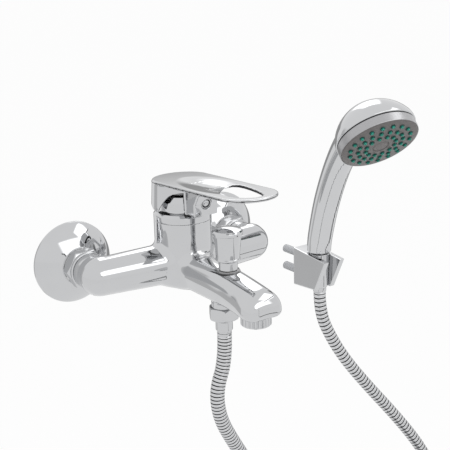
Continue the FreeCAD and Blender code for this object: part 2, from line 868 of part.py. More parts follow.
moving_disc = cut(
    "moving_disc_cut",
    rod("moving_disc_blank", "moving_disc_radius", "disc_thickness",
        ("0", "-tower_setback", "base_top + disc_thickness")),
    rod("moving_disc_port", "moving_disc_radius - moving_disc_rim", "disc_thickness / 2",
        ("0", "-tower_setback", "base_top + disc_thickness")),
)
node(moving_disc, "moving_ceramic_disc")

holder = cut(
    "holder_cut",
    rod("holder_blank", "moving_disc_radius", "holder_height",
        ("0", "-tower_setback", "base_top + 2 * disc_thickness")),
    block("holder_pocket", "2 * (stem_foot_half_width + stem_foot_clearance)", "2 * holder_pocket_half_length",
          "holder_height",
          ("-stem_foot_half_width - stem_foot_clearance", "-tower_setback - holder_pocket_half_length",
           "stem_foot_bottom - stem_foot_gap")),
)
node(holder, "disc_holder")

housing = turned(
    "housing",
    [
        ("cartridge_radius - cartridge_wall", "cartridge_floor + base_flange_thickness"),
        ("cartridge_radius", "cartridge_floor + base_flange_thickness"),
        ("cartridge_radius", "cartridge_shoulder"),
        ("cartridge_neck_radius", "cartridge_shoulder"),
        ("cartridge_neck_radius", "cartridge_top"),
        ("cartridge_neck_bore", "cartridge_top"),
        ("cartridge_neck_bore", "driver_start + driver_plate_thickness + cartridge_clearance"),
        ("cartridge_radius - cartridge_wall", "driver_start + driver_plate_thickness + cartridge_clearance"),
    ],
    TOWER,
)
node(housing, "cartridge_housing")

driver = cut(
    "driver_cut",
    fuse(
        "driver_outside",
        rod("driver_plate", "driver_plate_radius", "driver_plate_thickness",
            ("0", "-tower_setback", "driver_start")),
        rod("driver_neck", "driver_neck_radius", "cartridge_top - driver_start - driver_neck_recess",
            ("0", "-tower_setback", "driver_start")),
    ),
    block("driver_slot", "2 * driver_slot_half_width", "2 * driver_slot_half_length",
          "through_cut", ("-driver_slot_half_width", "-tower_setback - driver_slot_half_length",
                          "driver_start - tool_overrun")),
    rod("driver_pin_hole", "pivot_pin_radius", "pin_bore_length",
        ("-pin_bore_length / 2", "-tower_setback", "pivot_height"),
        "right"),
)
node(driver, "cartridge_driver")
pin = rod("pivot_pin_rod", "pivot_pin_radius", "2 * (driver_neck_radius - pivot_pin_inset)",
          ("pivot_pin_inset - driver_neck_radius", "-tower_setback", "pivot_height"), "right")
node(pin, "stem_pivot_pin")

stem = cut(
    "stem_cut",
    fuse(
        "stem_outside",
        block("stem_square", "2 * stem_half_width", "2 * stem_half_width",
              "stem_top - pivot_height",
              ("-stem_half_width", "-tower_setback - stem_half_width", "pivot_height")),
        rod("stem_knuckle", "stem_half_width", "2 * stem_half_width",
            ("-stem_half_width", "-tower_setback", "pivot_height"), "right"),
        block("stem_foot", "2 * stem_foot_half_width", "2 * stem_foot_half_width",
              "pivot_height - stem_foot_bottom",
              ("-stem_foot_half_width", "-tower_setback - stem_foot_half_width",
               "stem_foot_bottom")),
    ),
    rod("stem_pin_hole", "pivot_pin_radius + running_clearance", "through_cut",
        ("-through_cut / 2", "-tower_setback", "pivot_height"), "right"),
)
node(stem, "cartridge_stem")

cartridge_nut = turned(
    "cartridge_nut_body",
    [
        ("cartridge_neck_radius + cartridge_clearance", "cartridge_shoulder"),
        ("nut_thread_radius", "cartridge_shoulder"),
        ("nut_thread_radius", "tower_top"),
        ("nut_flange_radius", "tower_top"),
        ("nut_flange_radius", "tower_top + nut_flange_height"),
        ("cartridge_neck_radius + cartridge_clearance", "tower_top + nut_flange_height"),
    ],
    TOWER,
)
node(cartridge_nut, "cartridge_nut")

cover = turned(
    "cover_body",
    [
        ("nut_flange_radius + cartridge_clearance", "tower_top"),
        ("tower_radius", "tower_top"),
        ("tower_radius", "cover_ring_top - cover_chamfer"),
        ("tower_radius - cover_chamfer", "cover_ring_top"),
        ("cover_barrel_radius", "cover_ring_top"),
        ("cover_barrel_radius", "cover_top - cover_edge_radius"),
        ("cover_barrel_radius - cover_shoulder_width", "cover_top - cover_shoulder_drop"),
        ("cover_barrel_radius - cover_wall", "cover_top"),
        ("cover_barrel_radius - cover_wall", "cover_ring_top - cover_roof"),
        ("nut_flange_radius + cartridge_clearance", "cover_ring_top - cover_roof"),
    ],
    TOWER,
)
node(cover, "dome_cover")

# Lever: a long plate with a finger hole, on a skirt that leaves the cover's sides open

plate = slab(
    "lever_plate",
    "XY_Plane",
    [
        ("lever_back_radius", "0"),
        ("-lever_back_radius", "0"),
        ("-lever_tip_radius", "-lever_tip_centre"),
        ("lever_tip_radius", "-lever_tip_centre"),
    ],
    "lever_thickness",
    ("0", "-tower_setback", "lever_plane"),
    {0: ("lever_back_radius", 1), 2: ("lever_tip_radius", 1)},
)
plate.Placement = Placement(
    Vector(0, -num("tower_setback"), num("lever_plane")), Rotation(Vector(1, 0, 0), -num("lever_tilt"))
)


def on_a_face(edge):
    """Whether an edge of the plate lies in its upper or its lower face."""
    ends = [plate.Placement.inverse().multVec(edge.valueAt(at)).z
            for at in (edge.FirstParameter, edge.LastParameter)]
    return abs(ends[0] - ends[1]) < TOLERANCE


soften(plate, "lever_edges", "lever_edge_round", on_a_face)
hole = outline(
    plate,
    "finger_hole",
    "XY_Plane",
    [
        ("lever_hole_back_radius", "-lever_hole_back"),
        ("-lever_hole_back_radius", "-lever_hole_back"),
        ("-lever_hole_radius", "-lever_hole_front"),
        ("lever_hole_radius", "-lever_hole_front"),
    ],
    {0: ("lever_hole_back_radius", 1), 2: ("lever_hole_radius", 1)},
)
pocket = plate.newObject("PartDesign::Pocket", "finger_hole_cut")
pocket.Profile = hole
pocket.Type = "ThroughAll"
pocket.Midplane = True

skirt = tube("lever_skirt", "skirt_radius", "skirt_radius - skirt_wall", "skirt_bottom",
             "lever_plane - skirt_overlap", TOWER)
neck = slab(
    "lever_neck",
    "YZ_Plane",
    [
        ("-skirt_radius + skirt_wall", "neck_bottom"),
        ("-skirt_radius - neck_toe", "neck_bottom + neck_toe_rise"),
        ("-neck_reach", "plug_height"),
        ("-neck_reach - neck_flare", "lever_plane - neck_flare"),
        ("-neck_reach - neck_flare_top", "lever_plane"),
        ("-skirt_radius + skirt_wall", "lever_plane"),
    ],
    "2 * neck_half_width",
    TOWER,
)
hub = rod("lever_hub", "hub_radius", "lever_plane - hub_bottom", ("0", "-tower_setback", "hub_bottom"))


def arch_cutter(side, sign):
    """The opening in one side of the skirt, clear of the neck."""
    body = slab(
        f"lever_arch_{side}",
        "YZ_Plane",
        [
            ("-arch_start", "skirt_bottom - tool_overrun"),
            ("-arch_start", "skirt_bottom"),
            ("-arch_turn", "arch_top - arch_turn_drop"),
            ("-arch_crown", "arch_top"),
            ("-skirt_radius - tool_overrun", "arch_top"),
            ("-skirt_radius - tool_overrun", "skirt_bottom - tool_overrun"),
        ],
        "skirt_radius",
        (f"{sign} * (neck_half_width + skirt_radius / 2)", "-tower_setback", "0"),
        {1: ("arch_sweep_radius", 1)},
    )
    return body


back_cutter = slab(
    "skirt_back",
    "YZ_Plane",
    [
        ("-skirt_back_start", "skirt_bottom - tool_overrun"),
        ("-skirt_back_start", "skirt_bottom"),
        ("skirt_back_flat", "skirt_bottom + skirt_back_flat_rise"),
        ("skirt_radius + 2 * tool_overrun", "skirt_bottom + skirt_back_rise"),
        ("skirt_radius + 2 * tool_overrun", "skirt_bottom - tool_overrun"),
    ],
    "3 * skirt_radius",
    TOWER,
)
SOCKET = "stem_half_width + stem_clearance"
socket = block("stem_socket", f"2 * ({SOCKET})", f"2 * ({SOCKET})",
               "stem_top - hub_bottom + tool_overrun + stem_top_gap",
               (f"-({SOCKET})", f"-tower_setback - ({SOCKET})", "hub_bottom - tool_overrun"))
dish = doc.addObject("Part::Sphere", "lever_dish")
dish.setExpression("Radius", cells("lever_dish_radius"))
dish.Placement = Placement(
    plate.Placement.multVec(
        Vector(0, -num("lever_hole_back"),
               num("lever_thickness / 2 + lever_dish_radius - lever_dish_depth"))
    ),
    Rotation(),
)


def along_grub(name, radius, start, length):
    """A rod on the grub screw's axis, from the plug's face towards the stem."""
    piece = doc.addObject("Part::Cylinder", name)
    piece.setExpression("Radius", cells(radius))
    piece.setExpression("Height", cells(length))
    slope = math.radians(num("grub_slope"))
    way = Vector(0, math.cos(slope), math.sin(slope))
    face = Vector(0, -num("tower_setback + neck_reach"), num("plug_height"))
    piece.Placement = Placement(face + way * num(start), Rotation(Vector(0, 0, 1), way))
    return piece


lever_open = cut(
    "lever_open",
    fuse("lever_solid", plate, skirt, neck, hub),
    arch_cutter("left", -1),
    arch_cutter("right", 1),
    back_cutter,
    socket,
)
grub_hole = along_grub("grub_hole", "grub_radius + running_clearance",
                       "-through_cut", "neck_reach + through_cut")
plug_recess = along_grub("plug_recess", "plug_radius + running_clearance",
                         "-through_cut", "plug_thickness + through_cut + plug_gap")
lever_bored = cut("lever_bored", cut("lever_dished", lever_open, dish), grub_hole)
lever = cut("lever_cut", lever_bored, plug_recess)
node(lever, "lever")
GRUB_TIP = "(neck_reach - stem_half_width - grub_gap) / cos(grub_slope)"
grub = along_grub("grub_screw_rod", "grub_radius", f"{GRUB_TIP} - grub_length", "grub_length")
grub_key = along_grub("grub_key", "grub_radius / 2", f"{GRUB_TIP} - grub_length - tool_overrun",
                     "grub_key_depth + tool_overrun")
node(cut("grub_cut", grub, grub_key), "lever_grub_screw")
node(along_grub("plug_rod", "plug_radius", "0", "plug_thickness"), "lever_plug")

# Diverter

KNOB = ("0", "-knob_setback", "0")
knob = turned(
    "knob_body",
    [
        ("spindle_radius", "knob_neck_bottom"),
        ("knob_neck_radius", "knob_neck_bottom"),
        ("knob_neck_radius", "knob_waist_height - knob_flare"),
        ("knob_grip_radius", "knob_waist_height - knob_waist_band"),
        ("knob_grip_radius", "knob_waist_height"),
        ("knob_radius - knob_step", "knob_top - knob_cap_height - knob_step_height"),
        ("knob_radius", "knob_top - knob_cap_height"),
        ("knob_radius", "knob_top - knob_round"),
        ("knob_radius - knob_round", "knob_top"),
        ("0", "knob_top"),
        ("0", "spindle_top"),
        ("spindle_radius", "spindle_top"),
    ],
    KNOB,
    arcs={7: ("knob_round", 1)},
)
node(knob, "diverter_knob")
BUSH_TOP = "bush_seat + bush_collar_height"
SPINDLE_HOLE = "spindle_radius + spindle_clearance"
RING_SLOT = "spindle_radius + 2 * diverter_ring_section + ring_slot_clearance"
RING_SLOT_TOP = "bush_seat + ring_slot_top"
RING_SLOT_FOOT = f"{RING_SLOT_TOP} - 2 * diverter_ring_section - ring_slot_clearance"
bush = turned(
    "bush_body",
    [
        ("spring_pocket_radius", "bush_bottom"),
        ("bush_thread_radius", "bush_bottom"),
        ("bush_thread_radius", "bush_seat"),
        ("bush_radius", "bush_seat"),
        ("bush_radius", f"{BUSH_TOP} - bush_chamfer"),
        ("bush_radius - bush_chamfer", BUSH_TOP),
        (SPINDLE_HOLE, BUSH_TOP),
        (SPINDLE_HOLE, RING_SLOT_TOP),
        (RING_SLOT, RING_SLOT_TOP),
        (RING_SLOT, RING_SLOT_FOOT),
        (SPINDLE_HOLE, RING_SLOT_FOOT),
        (SPINDLE_HOLE, "spring_seat"),
        ("spring_pocket_radius", "spring_seat"),
    ],
    KNOB,
)
node(bush, "diverter_bush")
seal = doc.addObject("Part::Torus", "spindle_seal")
seal.setExpression("Radius1", cells("spindle_radius + diverter_ring_section + ring_slot_clearance / 2"))
seal.setExpression("Radius2", cells("diverter_ring_section"))
put(seal, ("0", "-knob_setback", f"{RING_SLOT_TOP} - ring_slot_clearance / 2 - diverter_ring_section"))
node(seal, "diverter_o_ring")
spindle = rod("spindle_rod", "spindle_radius", "spindle_top - spindle_bottom",
              ("0", "-knob_setback", "spindle_bottom"))
node(spindle, "diverter_spindle")
valve = tube("valve_body", "valve_radius", "spindle_radius", "spindle_bottom + valve_foot",
             "spindle_bottom + valve_foot + valve_thickness", KNOB)
node(valve, "diverter_valve")


def helix_route(centre, across, along, radius, pitch, start, quarters):
    """Places and directions at each quarter turn of a helix. across and along span its rings, and
    the helix climbs by pitch a turn towards their cross product."""
    axis = across.cross(along)
    stops = []
    for k in range(quarters + 1):
        angle = start + k * math.pi / 2
        ring = across * math.cos(angle) + along * math.sin(angle)
        ahead = along * math.cos(angle) - across * math.sin(angle)
        place = centre + ring * radius + axis * (pitch * k / 4)
        stops.append((place, (ahead * radius * 2 * math.pi + axis * pitch).normalize()))
    return stops


def arc_edge(first, corner, last):
    """The arc from first to last that heads for the corner and then away from it."""
    chord = last - first
    middle = (first + last) / 2
    bend = (corner - first).getAngle(chord)
    rise = (corner - middle).normalize() * (chord.Length / 2 * math.tan(bend / 2))
    return Part.Arc(first, middle + rise, last).toShape()


def biarcs(stops):
    """Pairs of tangent arcs through a list of places and directions."""
    edges = []
    for (first, ahead), (last, onward) in zip(stops, stops[1:]):
        way = last - first
        both = ahead + onward
        square = 2 * (1 - ahead.dot(onward))
        dot = way.dot(both)
        reach = (math.sqrt(dot**2 + square * way.dot(way)) - dot) / square
        near = first + ahead * reach
        far = last - onward * reach
        middle = (near + far) / 2
        edges += [arc_edge(first, near, middle), arc_edge(middle, far, last)]
    return edges


def disc_wire(centre, ahead, radius):
    """A circle square to a direction, its seam turned towards a steady X axis."""
    aside = Vector(1, 0, 0) - ahead * ahead.x
    if aside.Length < 0.3:
        aside = Vector(0, 1, 0) - ahead * ahead.y
    turn = Rotation(aside, Vector(), ahead, "ZXY")
    circle = Part.makeCircle(radius)
    circle.Placement = Placement(centre, turn)
    return Part.Wire([circle])


def piped(edges, radius):
    """A round bar along tangent lines and arcs."""
    first = edges[0]
    start = first.valueAt(first.FirstParameter)
    ahead = first.tangentAt(first.FirstParameter)
    return Part.Wire(edges).makePipeShell([disc_wire(start, ahead, radius)], True, False)


def spring_solid():
    """The spring that holds the diverter down, resting on its valve."""
    foot = num("spindle_bottom + valve_foot + valve_thickness + spring_wire_radius")
    top = num("spring_seat - spring_wire_radius")
    turns = int(num("spring_turns"))
    centre = Vector(0, -num("knob_setback"), foot)
    stops = helix_route(centre, Vector(1, 0, 0), Vector(0, 1, 0), num("spring_radius"),
                        (top - foot) / turns, 0, 4 * turns)
    return piped(biarcs(stops), num("spring_wire_radius"))


shape_node("diverter_spring", spring_solid())

# Aerator

AERATOR = ("0", "-aerator_setback", "spout_floor")
housing_ring = turned(
    "aerator_ring",
    [
        ("aerator_bore", "-aerator_drop"),
        ("aerator_radius - aerator_chamfer", "-aerator_drop"),
        ("aerator_radius", "aerator_chamfer - aerator_drop"),
        ("aerator_radius", "0"),
        ("aerator_thread_radius", "0"),
        ("aerator_thread_radius", "aerator_thread_length"),
        ("aerator_bore", "aerator_thread_length"),
    ],
    AERATOR,
)
grooves = []
for k in range(SIZES["aerator_grooves"]):
    turn = f"{k} * 360 / aerator_grooves"
    grooves.append(
        rod(f"aerator_groove_{k}", "aerator_groove_radius", "aerator_drop - aerator_groove_top",
            (f"aerator_radius * cos({turn})", f"aerator_radius * sin({turn}) - aerator_setback",
             "spout_floor - aerator_drop - tool_overlap"))
    )
node(cut("aerator_grooved", housing_ring, *grooves), "aerator_housing")
# Jets lie on a square grid, counted in pitches from its middle, without its corners
JET_ROWS = range(-2, 3)
JET_REACH = 3
insert = cut(
    "aerator_insert_cut",
    rod("aerator_insert_rod", "aerator_bore",
        "aerator_drop + aerator_thread_length - aerator_insert_recess",
        ("0", "-aerator_setback", "spout_floor - aerator_drop + aerator_insert_recess")),
    *[rod(f"aerator_jet_{i}_{j}", "aerator_jet_radius", "through_cut",
          (f"{i} * aerator_jet_pitch", f"{j} * aerator_jet_pitch - aerator_setback",
           "spout_floor - aerator_drop"))
      for i in JET_ROWS for j in JET_ROWS if abs(i) + abs(j) <= JET_REACH],
)
node(insert, "aerator_insert")
node(tube("aerator_washer_ring", "aerator_thread_radius - seal_clearance", "aerator_washer_bore",
          "aerator_thread_length", "aerator_thread_length + aerator_washer_thickness", AERATOR),
     "aerator_washer")

# Shower outlet, with the hose's nut, washer and ferrule

OUTLET = ("0", "-outlet_setback", "0")
nipple = turned(
    "nipple_body",
    [
        ("nipple_bore", "nipple_bottom"),
        ("nipple_radius", "nipple_bottom"),
        ("nipple_radius", "spout_floor"),
        ("nipple_stub_radius", "spout_floor"),
        ("nipple_stub_radius", "nipple_top"),
        ("nipple_bore", "nipple_top"),
    ],
    OUTLET,
)
node(nipple, "shower_outlet_nipple")
nut_height = "hose_nut_top - hose_nut_bottom"
hose_nut_hex = common(
    "hose_nut_hex",
    hexagon("hose_nut_prism", "hose_nut_flats", nut_height, ("0", "-outlet_setback", "hose_nut_bottom")),
    turned(
        "hose_nut_chamfer",
        [
            ("0", "0"),
            ("hose_nut_flats / 2", "0"),
            ("hose_nut_flats / 2 / cos(30)", "hose_nut_chamfer"),
            ("hose_nut_flats / 2 / cos(30)", f"{nut_height} - hose_nut_chamfer"),
            ("hose_nut_flats / 2", nut_height),
            ("0", nut_height),
        ],
        ("0", "-outlet_setback", "hose_nut_bottom"),
    ),
)
hose_nut = cut(
    "hose_nut_cut",
    hose_nut_hex,
    rod("hose_nut_thread", "nipple_radius + thread_clearance", "through_cut",
        ("0", "-outlet_setback", "hose_nut_bottom + hose_nut_floor")),
    rod("hose_nut_hole", "ferrule_neck_radius + ferrule_clearance", "through_cut",
        ("0", "-outlet_setback", "hose_nut_bottom - tool_overrun")),
)
node(hose_nut, "hose_nut_mixer")
FLANGE_TOP = "nipple_bottom - hose_washer_thickness"
FLANGE_FOOT = "nipple_bottom - hose_washer_thickness - ferrule_flange_thickness"
node(tube("hose_washer_ring", "nipple_radius - washer_clearance", "nipple_bore", FLANGE_TOP, "nipple_bottom",
          OUTLET), "hose_washer_mixer")
ferrule = turned(
    "ferrule_body",
    [
        ("ferrule_bore", "ferrule_end"),
        ("ferrule_radius", "ferrule_end"),
        ("ferrule_radius", "hose_nut_bottom"),
        ("ferrule_neck_radius", "hose_nut_bottom"),
        ("ferrule_neck_radius", FLANGE_FOOT),
        ("nipple_radius - washer_clearance", FLANGE_FOOT),
        ("nipple_radius - washer_clearance", FLANGE_TOP),
        ("ferrule_bore", FLANGE_TOP),
    ],
    OUTLET,
)
node(ferrule, "hose_ferrule_mixer")

# Hose: two ribbed runs in view, a plain run, and a tied coil below

BRACKET = Vector(num("bracket_x"), -num("bracket_setback"), 0)
MIXER_END = Vector(0, -num("outlet_setback"), num("ferrule_end"))
HANDSET_END = BRACKET + Vector(0, 0, num("hand_ferrule_end"))
ACROSS, UP, OUT = Vector(1, 0, 0), Vector(0, 0, 1), Vector(0, -1, 0)


def coil_stops():
    """The coil's quarter turns. It runs from the mixer's side back towards the wall."""
    centre = Vector(num("coil_x"), -num("coil_front"), num("coil_height"))
    start = math.radians(num("coil_start_angle"))
    whole = int(num("coil_whole_turns"))
    pitch, radius = num("coil_pitch"), num("coil_radius")
    first_part = (2 * math.pi - start) / (2 * math.pi)
    stops = []
    steps = 4 * whole + 1
    for k in range(steps + 1):
        turn = 0 if k == 0 else first_part + (k - 1) / 4
        angle = start + turn * 2 * math.pi
        ring = ACROSS * math.cos(angle) + UP * math.sin(angle)
        ahead = UP * math.cos(angle) - ACROSS * math.sin(angle)
        place = centre + ring * radius - OUT * (pitch * turn)
        stops.append((place, (ahead * radius * 2 * math.pi - OUT * pitch).normalize()))
    return stops


COIL = coil_stops()
LEAD = num("coil_lead")
COIL_START = COIL[0][0] - COIL[0][1] * LEAD
COIL_END = COIL[-1][0] + COIL[-1][1] * LEAD

# The routes of the three runs. Each point is the corner of two straight runs that an arc rounds off.
MIXER_ROUTE = [
    MIXER_END,
    MIXER_END - UP * num("hose_straight"),
    Vector(-10, -117, -95),
    Vector(-7, -117, -121),
    Vector(5, -117, -145),
    Vector(18, -117, -168),
    Vector(32, -116.4, -190.5),
]
LOWER_ROUTE = [
    Vector(32, -116.4, -190.5),
    Vector(46, -115.8, -213),
    Vector(70, -114, -250),
    Vector(97, -111, -290),
    Vector(126, -107, -330),
    COIL_START - COIL[0][1] * num("coil_approach"),
    COIL_START,
]
HANDSET_ROUTE = [
    HANDSET_END,
    HANDSET_END - UP * num("hose_straight"),
    Vector(189, -28.5, -131),
    Vector(204, -35, -158),
    Vector(229, -43, -192),
    Vector(251.5, -51, -221),
    Vector(277.5, -60, -257.5),
    COIL_END + COIL[-1][1] * num("coil_departure"),
    COIL_END,
]
RUN_SHARE = 0.45


def run_edges(corners, name):
    """Straight runs joined by tangent arcs, each as large as its two runs allow."""
    edges, radii = [], []
    start = corners[0]
    for before, corner, after in zip(corners, corners[1:], corners[2:]):
        back = before - corner
        on = after - corner
        half = (math.pi - back.getAngle(on)) / 2
        trim = RUN_SHARE * min(back.Length, on.Length)
        radius = trim / math.tan(half)
        back.normalize()
        on.normalize()
        first, last = corner + back * trim, corner + on * trim
        inward = (back + on).normalize()
        middle = corner + inward * (math.hypot(radius, trim) - radius)
        edges.append(Part.LineSegment(start, first).toShape())
        edges.append(Part.Arc(first, middle, last).toShape())
        radii.append(round(radius))
        start = last
    edges.append(Part.LineSegment(start, corners[-1]).toShape())
    print(name, "arc radii", radii, "length", round(sum(e.Length for e in edges), 1))
    return edges


def station(edges, distance):
    """The place and direction at a distance along tangent edges."""
    for edge in edges:
        if distance <= edge.Length or edge is edges[-1]:
            at = edge.getParameterByLength(min(max(distance, 0), edge.Length))
            return edge.valueAt(at), edge.tangentAt(at)
        distance -= edge.Length


RIB_PROFILE = ((0.0, "hose_valley_radius"), (0.14, "hose_radius"), (0.66, "hose_radius"),
               (0.8, "hose_valley_radius"))
CUFF_SHARE = 0.8


def ribbed(edges, ribs, name):
    """A hose with its bore and its ribs, ruled between circles."""
    length = sum(e.Length for e in edges)
    cuff = num("hose_radius") / 3
    pitch = (length - 2 * cuff) / ribs
    rings = [(0, "hose_radius"), (cuff * CUFF_SHARE, "hose_radius")]
    for k in range(ribs):
        rings += [(cuff + (k + share) * pitch, radius) for share, radius in RIB_PROFILE]
    rings += [(length - cuff * CUFF_SHARE, "hose_radius"), (length, "hose_radius")]
    wires = [disc_wire(*station(edges, place), num(radius)) for place, radius in rings]
    outside = Part.makeLoft(wires, True, True)
    bores = [disc_wire(*station(edges, place), num("hose_bore")) for place, _ in rings]
    hose = outside.cut(Part.makeLoft(bores, True, True))
    report_volume(hose, name, math.pi * (num("hose_radius")**2 - num("hose_bore")**2) * length)
    print(name, "rib pitch", round(pitch, 2))
    return hose


def plain_tube(edges, name):
    """A smooth hose with its bore."""
    length = sum(e.Length for e in edges)
    hose = piped(edges, num("hose_radius")).cut(piped(edges, num("hose_bore")))
    report_volume(hose, name, math.pi * (num("hose_radius")**2 - num("hose_bore")**2) * length)
    return hose


def report_volume(hose, name, expected):
    print(name, "volume", round(hose.Volume), "of section times length", round(expected))


def least_gap(edges, name, step=3.0, apart=60.0):
    """Prints the least gap between turns, measured between points along the line."""
    length = sum(e.Length for e in edges)
    places = [station(edges, k * step)[0] for k in range(int(length / step))]
    skip = int(apart / step)
    near = min((a - b).Length for i, a in enumerate(places) for b in places[i + skip:])
    print(name, "length", round(length, 1), "least gap to itself",
          round(near - 2 * num("hose_radius"), 2))


mixer_edges = run_edges(MIXER_ROUTE, "hose_run_mixer")
lower_edges = run_edges(LOWER_ROUTE, "hose_run_lower")
handset_edges = run_edges(HANDSET_ROUTE, "hose_run_handset")
coil_edges = [
    Part.LineSegment(COIL_START, COIL[0][0]).toShape(),
    *biarcs(COIL),
    Part.LineSegment(COIL[-1][0], COIL_END).toShape(),
]
least_gap(coil_edges, "hose_coil")
shape_node("hose_run_mixer", ribbed(mixer_edges, SIZES["mixer_ribs"], "hose_run_mixer"))
shape_node("hose_run_lower", plain_tube(lower_edges, "hose_run_lower"))
shape_node("hose_coil", plain_tube(coil_edges, "hose_coil"))
shape_node("hose_run_handset", ribbed(handset_edges, SIZES["handset_ribs"], "hose_run_handset"))

# The tie goes round the coil's turns at its lowest point
TIE_FIRST = "-coil_front + coil_pitch * (270 - coil_start_angle) / 360"
TIE_LAST = f"({TIE_FIRST}) + coil_pitch * coil_whole_turns"
TIE_HEIGHT = "coil_height - coil_radius"


def tie_ring(name, radius, width):
    """A long ring outline round the turns, as a slab."""
    return slab(
        name,
        "YZ_Plane",
        [
            (TIE_LAST, f"{TIE_HEIGHT} + {radius}"),
            (TIE_FIRST, f"{TIE_HEIGHT} + {radius}"),
            (TIE_FIRST, f"{TIE_HEIGHT} - ({radius})"),
            (TIE_LAST, f"{TIE_HEIGHT} - ({radius})"),
        ],
        width,
        ("coil_x", "0", "0"),
        {1: (radius, 1), 3: (radius, 1)},
    )


tie = cut(
    "hose_tie_cut",
    tie_ring("tie_outside", "hose_radius + tie_clearance + tie_wall", "tie_width"),
    tie_ring("tie_inside", "hose_radius + tie_clearance", "2 * tie_width"),
)
node(tie, "hose_tie")

# Wall bracket of the hand shower

bracket_blank = slab(
    "bracket_blank",
    "YZ_Plane",
    [
        ("0", "bracket_top"),
        ("-bracket_depth", "bracket_front_top"),
        ("-bracket_foot_depth", "bracket_front_bottom"),
        ("0", "bracket_bottom"),
    ],
    "2 * bracket_half_width",
    ("bracket_x", "0", "0"),
)
soften(bracket_blank, "bracket_edges", "bracket_round",
       lambda edge: edge.BoundBox.YMax < -0.01 or edge.BoundBox.YLength > 1)
BRACKET_AXIS = ("bracket_x", "-bracket_setback")
CONE_SLOPE = "(cone_top_radius - cone_bottom_radius) / (cone_top - cone_bottom)"
bracket_tools = [
    cone("bracket_socket",
         f"cone_bottom_radius + socket_clearance - socket_overrun * {CONE_SLOPE}",
         f"cone_top_radius + socket_clearance + socket_overrun * {CONE_SLOPE}",
         "cone_top - cone_bottom + 2 * socket_overrun",
         (*BRACKET_AXIS, "cone_bottom - socket_overrun")),
    block("bracket_slot", "2 * bracket_slot_half_width", "2 * bracket_depth",
          "3 * bracket_depth",
          ("bracket_x - bracket_slot_half_width", "-bracket_setback - 2 * bracket_depth",
           "bracket_bottom - bracket_depth")),
]
screws, plugs = [], []
HEAD_SEAT = "bracket_back_wall + screw_seat_height"
for place, sign in (("upper", 1), ("lower", -1)):
    height = f"screw_centre + {sign} * screw_spacing / 2"
    bracket_tools.append(rod(f"screw_hole_{place}", "screw_radius + screw_clearance",
                             "through_cut", ("bracket_x", "tool_overrun", height), "out"))
    bracket_tools.append(rod(f"screw_recess_{place}", "screw_head_radius + screw_head_clearance",
                             f"bracket_setback - ({HEAD_SEAT})",
                             ("bracket_x", f"-({HEAD_SEAT})", height), "out"))
    head = rod(f"screw_head_{place}", "screw_head_radius", "screw_head_height",
               ("bracket_x", f"-({HEAD_SEAT})", height), "out")
    shank = rod(f"screw_shank_{place}", "screw_radius", "screw_length",
                ("bracket_x", f"-({HEAD_SEAT})", height), "wall")
    drive = hexagon(f"screw_drive_{place}", "screw_head_radius", "screw_head_height",
                    ("bracket_x", f"-({HEAD_SEAT}) - screw_head_height / 2", height), "out")
    screws.append(cut(f"screw_{place}", fuse(f"screw_solid_{place}", head, shank), drive))
    plug = rod(f"plug_outside_{place}", "wall_plug_radius", "wall_plug_length",
               ("bracket_x", "0", height), "wall")
    plug_bore = rod(f"plug_bore_{place}", "screw_radius",
                    "wall_plug_length - wall_plug_floor + tool_overrun",
                    ("bracket_x", "-tool_overrun", height), "wall")
    plugs.append(cut(f"wall_plug_{place}", plug, plug_bore))
node(cut("bracket_cut", bracket_blank, *bracket_tools), "bracket_body")
screw_pair = doc.addObject("Part::Compound", "screw_pair")
screw_pair.Links = screws
node(screw_pair, "bracket_screws")
plug_pair = doc.addObject("Part::Compound", "plug_pair")
plug_pair.Links = plugs
node(plug_pair, "bracket_wall_plugs")

# Hose end that stands in the bracket

STAND = ("bracket_x", "-bracket_setback", "0")
STUB_BORE = "inlet_stub_radius + thread_clearance"
WASHER_FOOT = "inlet_stub_end - hand_washer_thickness"
HAND_FLANGE_FOOT = "inlet_stub_end - hand_washer_thickness - hand_ferrule_flange"
FERRULE_HOLE = "hand_ferrule_radius + seal_clearance"
cone_nut = turned(
    "cone_nut_body",
    [
        (FERRULE_HOLE, "cone_bottom"),
        ("cone_bottom_radius", "cone_bottom"),
        ("cone_top_radius", "cone_top"),
        (STUB_BORE, "cone_top"),
        (STUB_BORE, HAND_FLANGE_FOOT),
        (FERRULE_HOLE, HAND_FLANGE_FOOT),
    ],
    STAND,
)
node(cone_nut, "hose_cone_nut")
node(tube("hand_washer_ring", "inlet_stub_radius", "inlet_stub_bore", WASHER_FOOT,
          "inlet_stub_end - running_clearance", STAND), "hose_washer_handset")
hand_ferrule = turned(
    "hand_ferrule_body",
    [
        ("ferrule_bore", "hand_ferrule_end"),
        ("hand_ferrule_radius", "hand_ferrule_end"),
        ("hand_ferrule_radius", HAND_FLANGE_FOOT),
        ("inlet_stub_radius", HAND_FLANGE_FOOT),
        ("inlet_stub_radius", WASHER_FOOT),
        ("ferrule_bore", WASHER_FOOT),
    ],
    STAND,
)
node(hand_ferrule, "hose_ferrule_handset")

# Hand shower. Its own forward direction is -Y before it is swung about the bracket's axis

SWING = Placement(BRACKET, Rotation(Vector(0, 0, 1), num("handset_swing")))
HEAD = SWING * Placement(
    Vector(0, -num("head_forward"), num("head_height")),
    Rotation(Vector(1, 0, 0), 90 + num("head_pitch")),
)


# The handle's line: setback and rise of each section from its base, and how much thicker it is there
HANDLE_SECTIONS = ((1.5, 0, 0), (-1.5, 17, 0.3), (-15, 55, 0.7), (-35.5, 93, 1.0))
# Its last sections: setback and rise from the middle of the head
NECK_SECTIONS = ((46.9, -5.6), (24, 9))


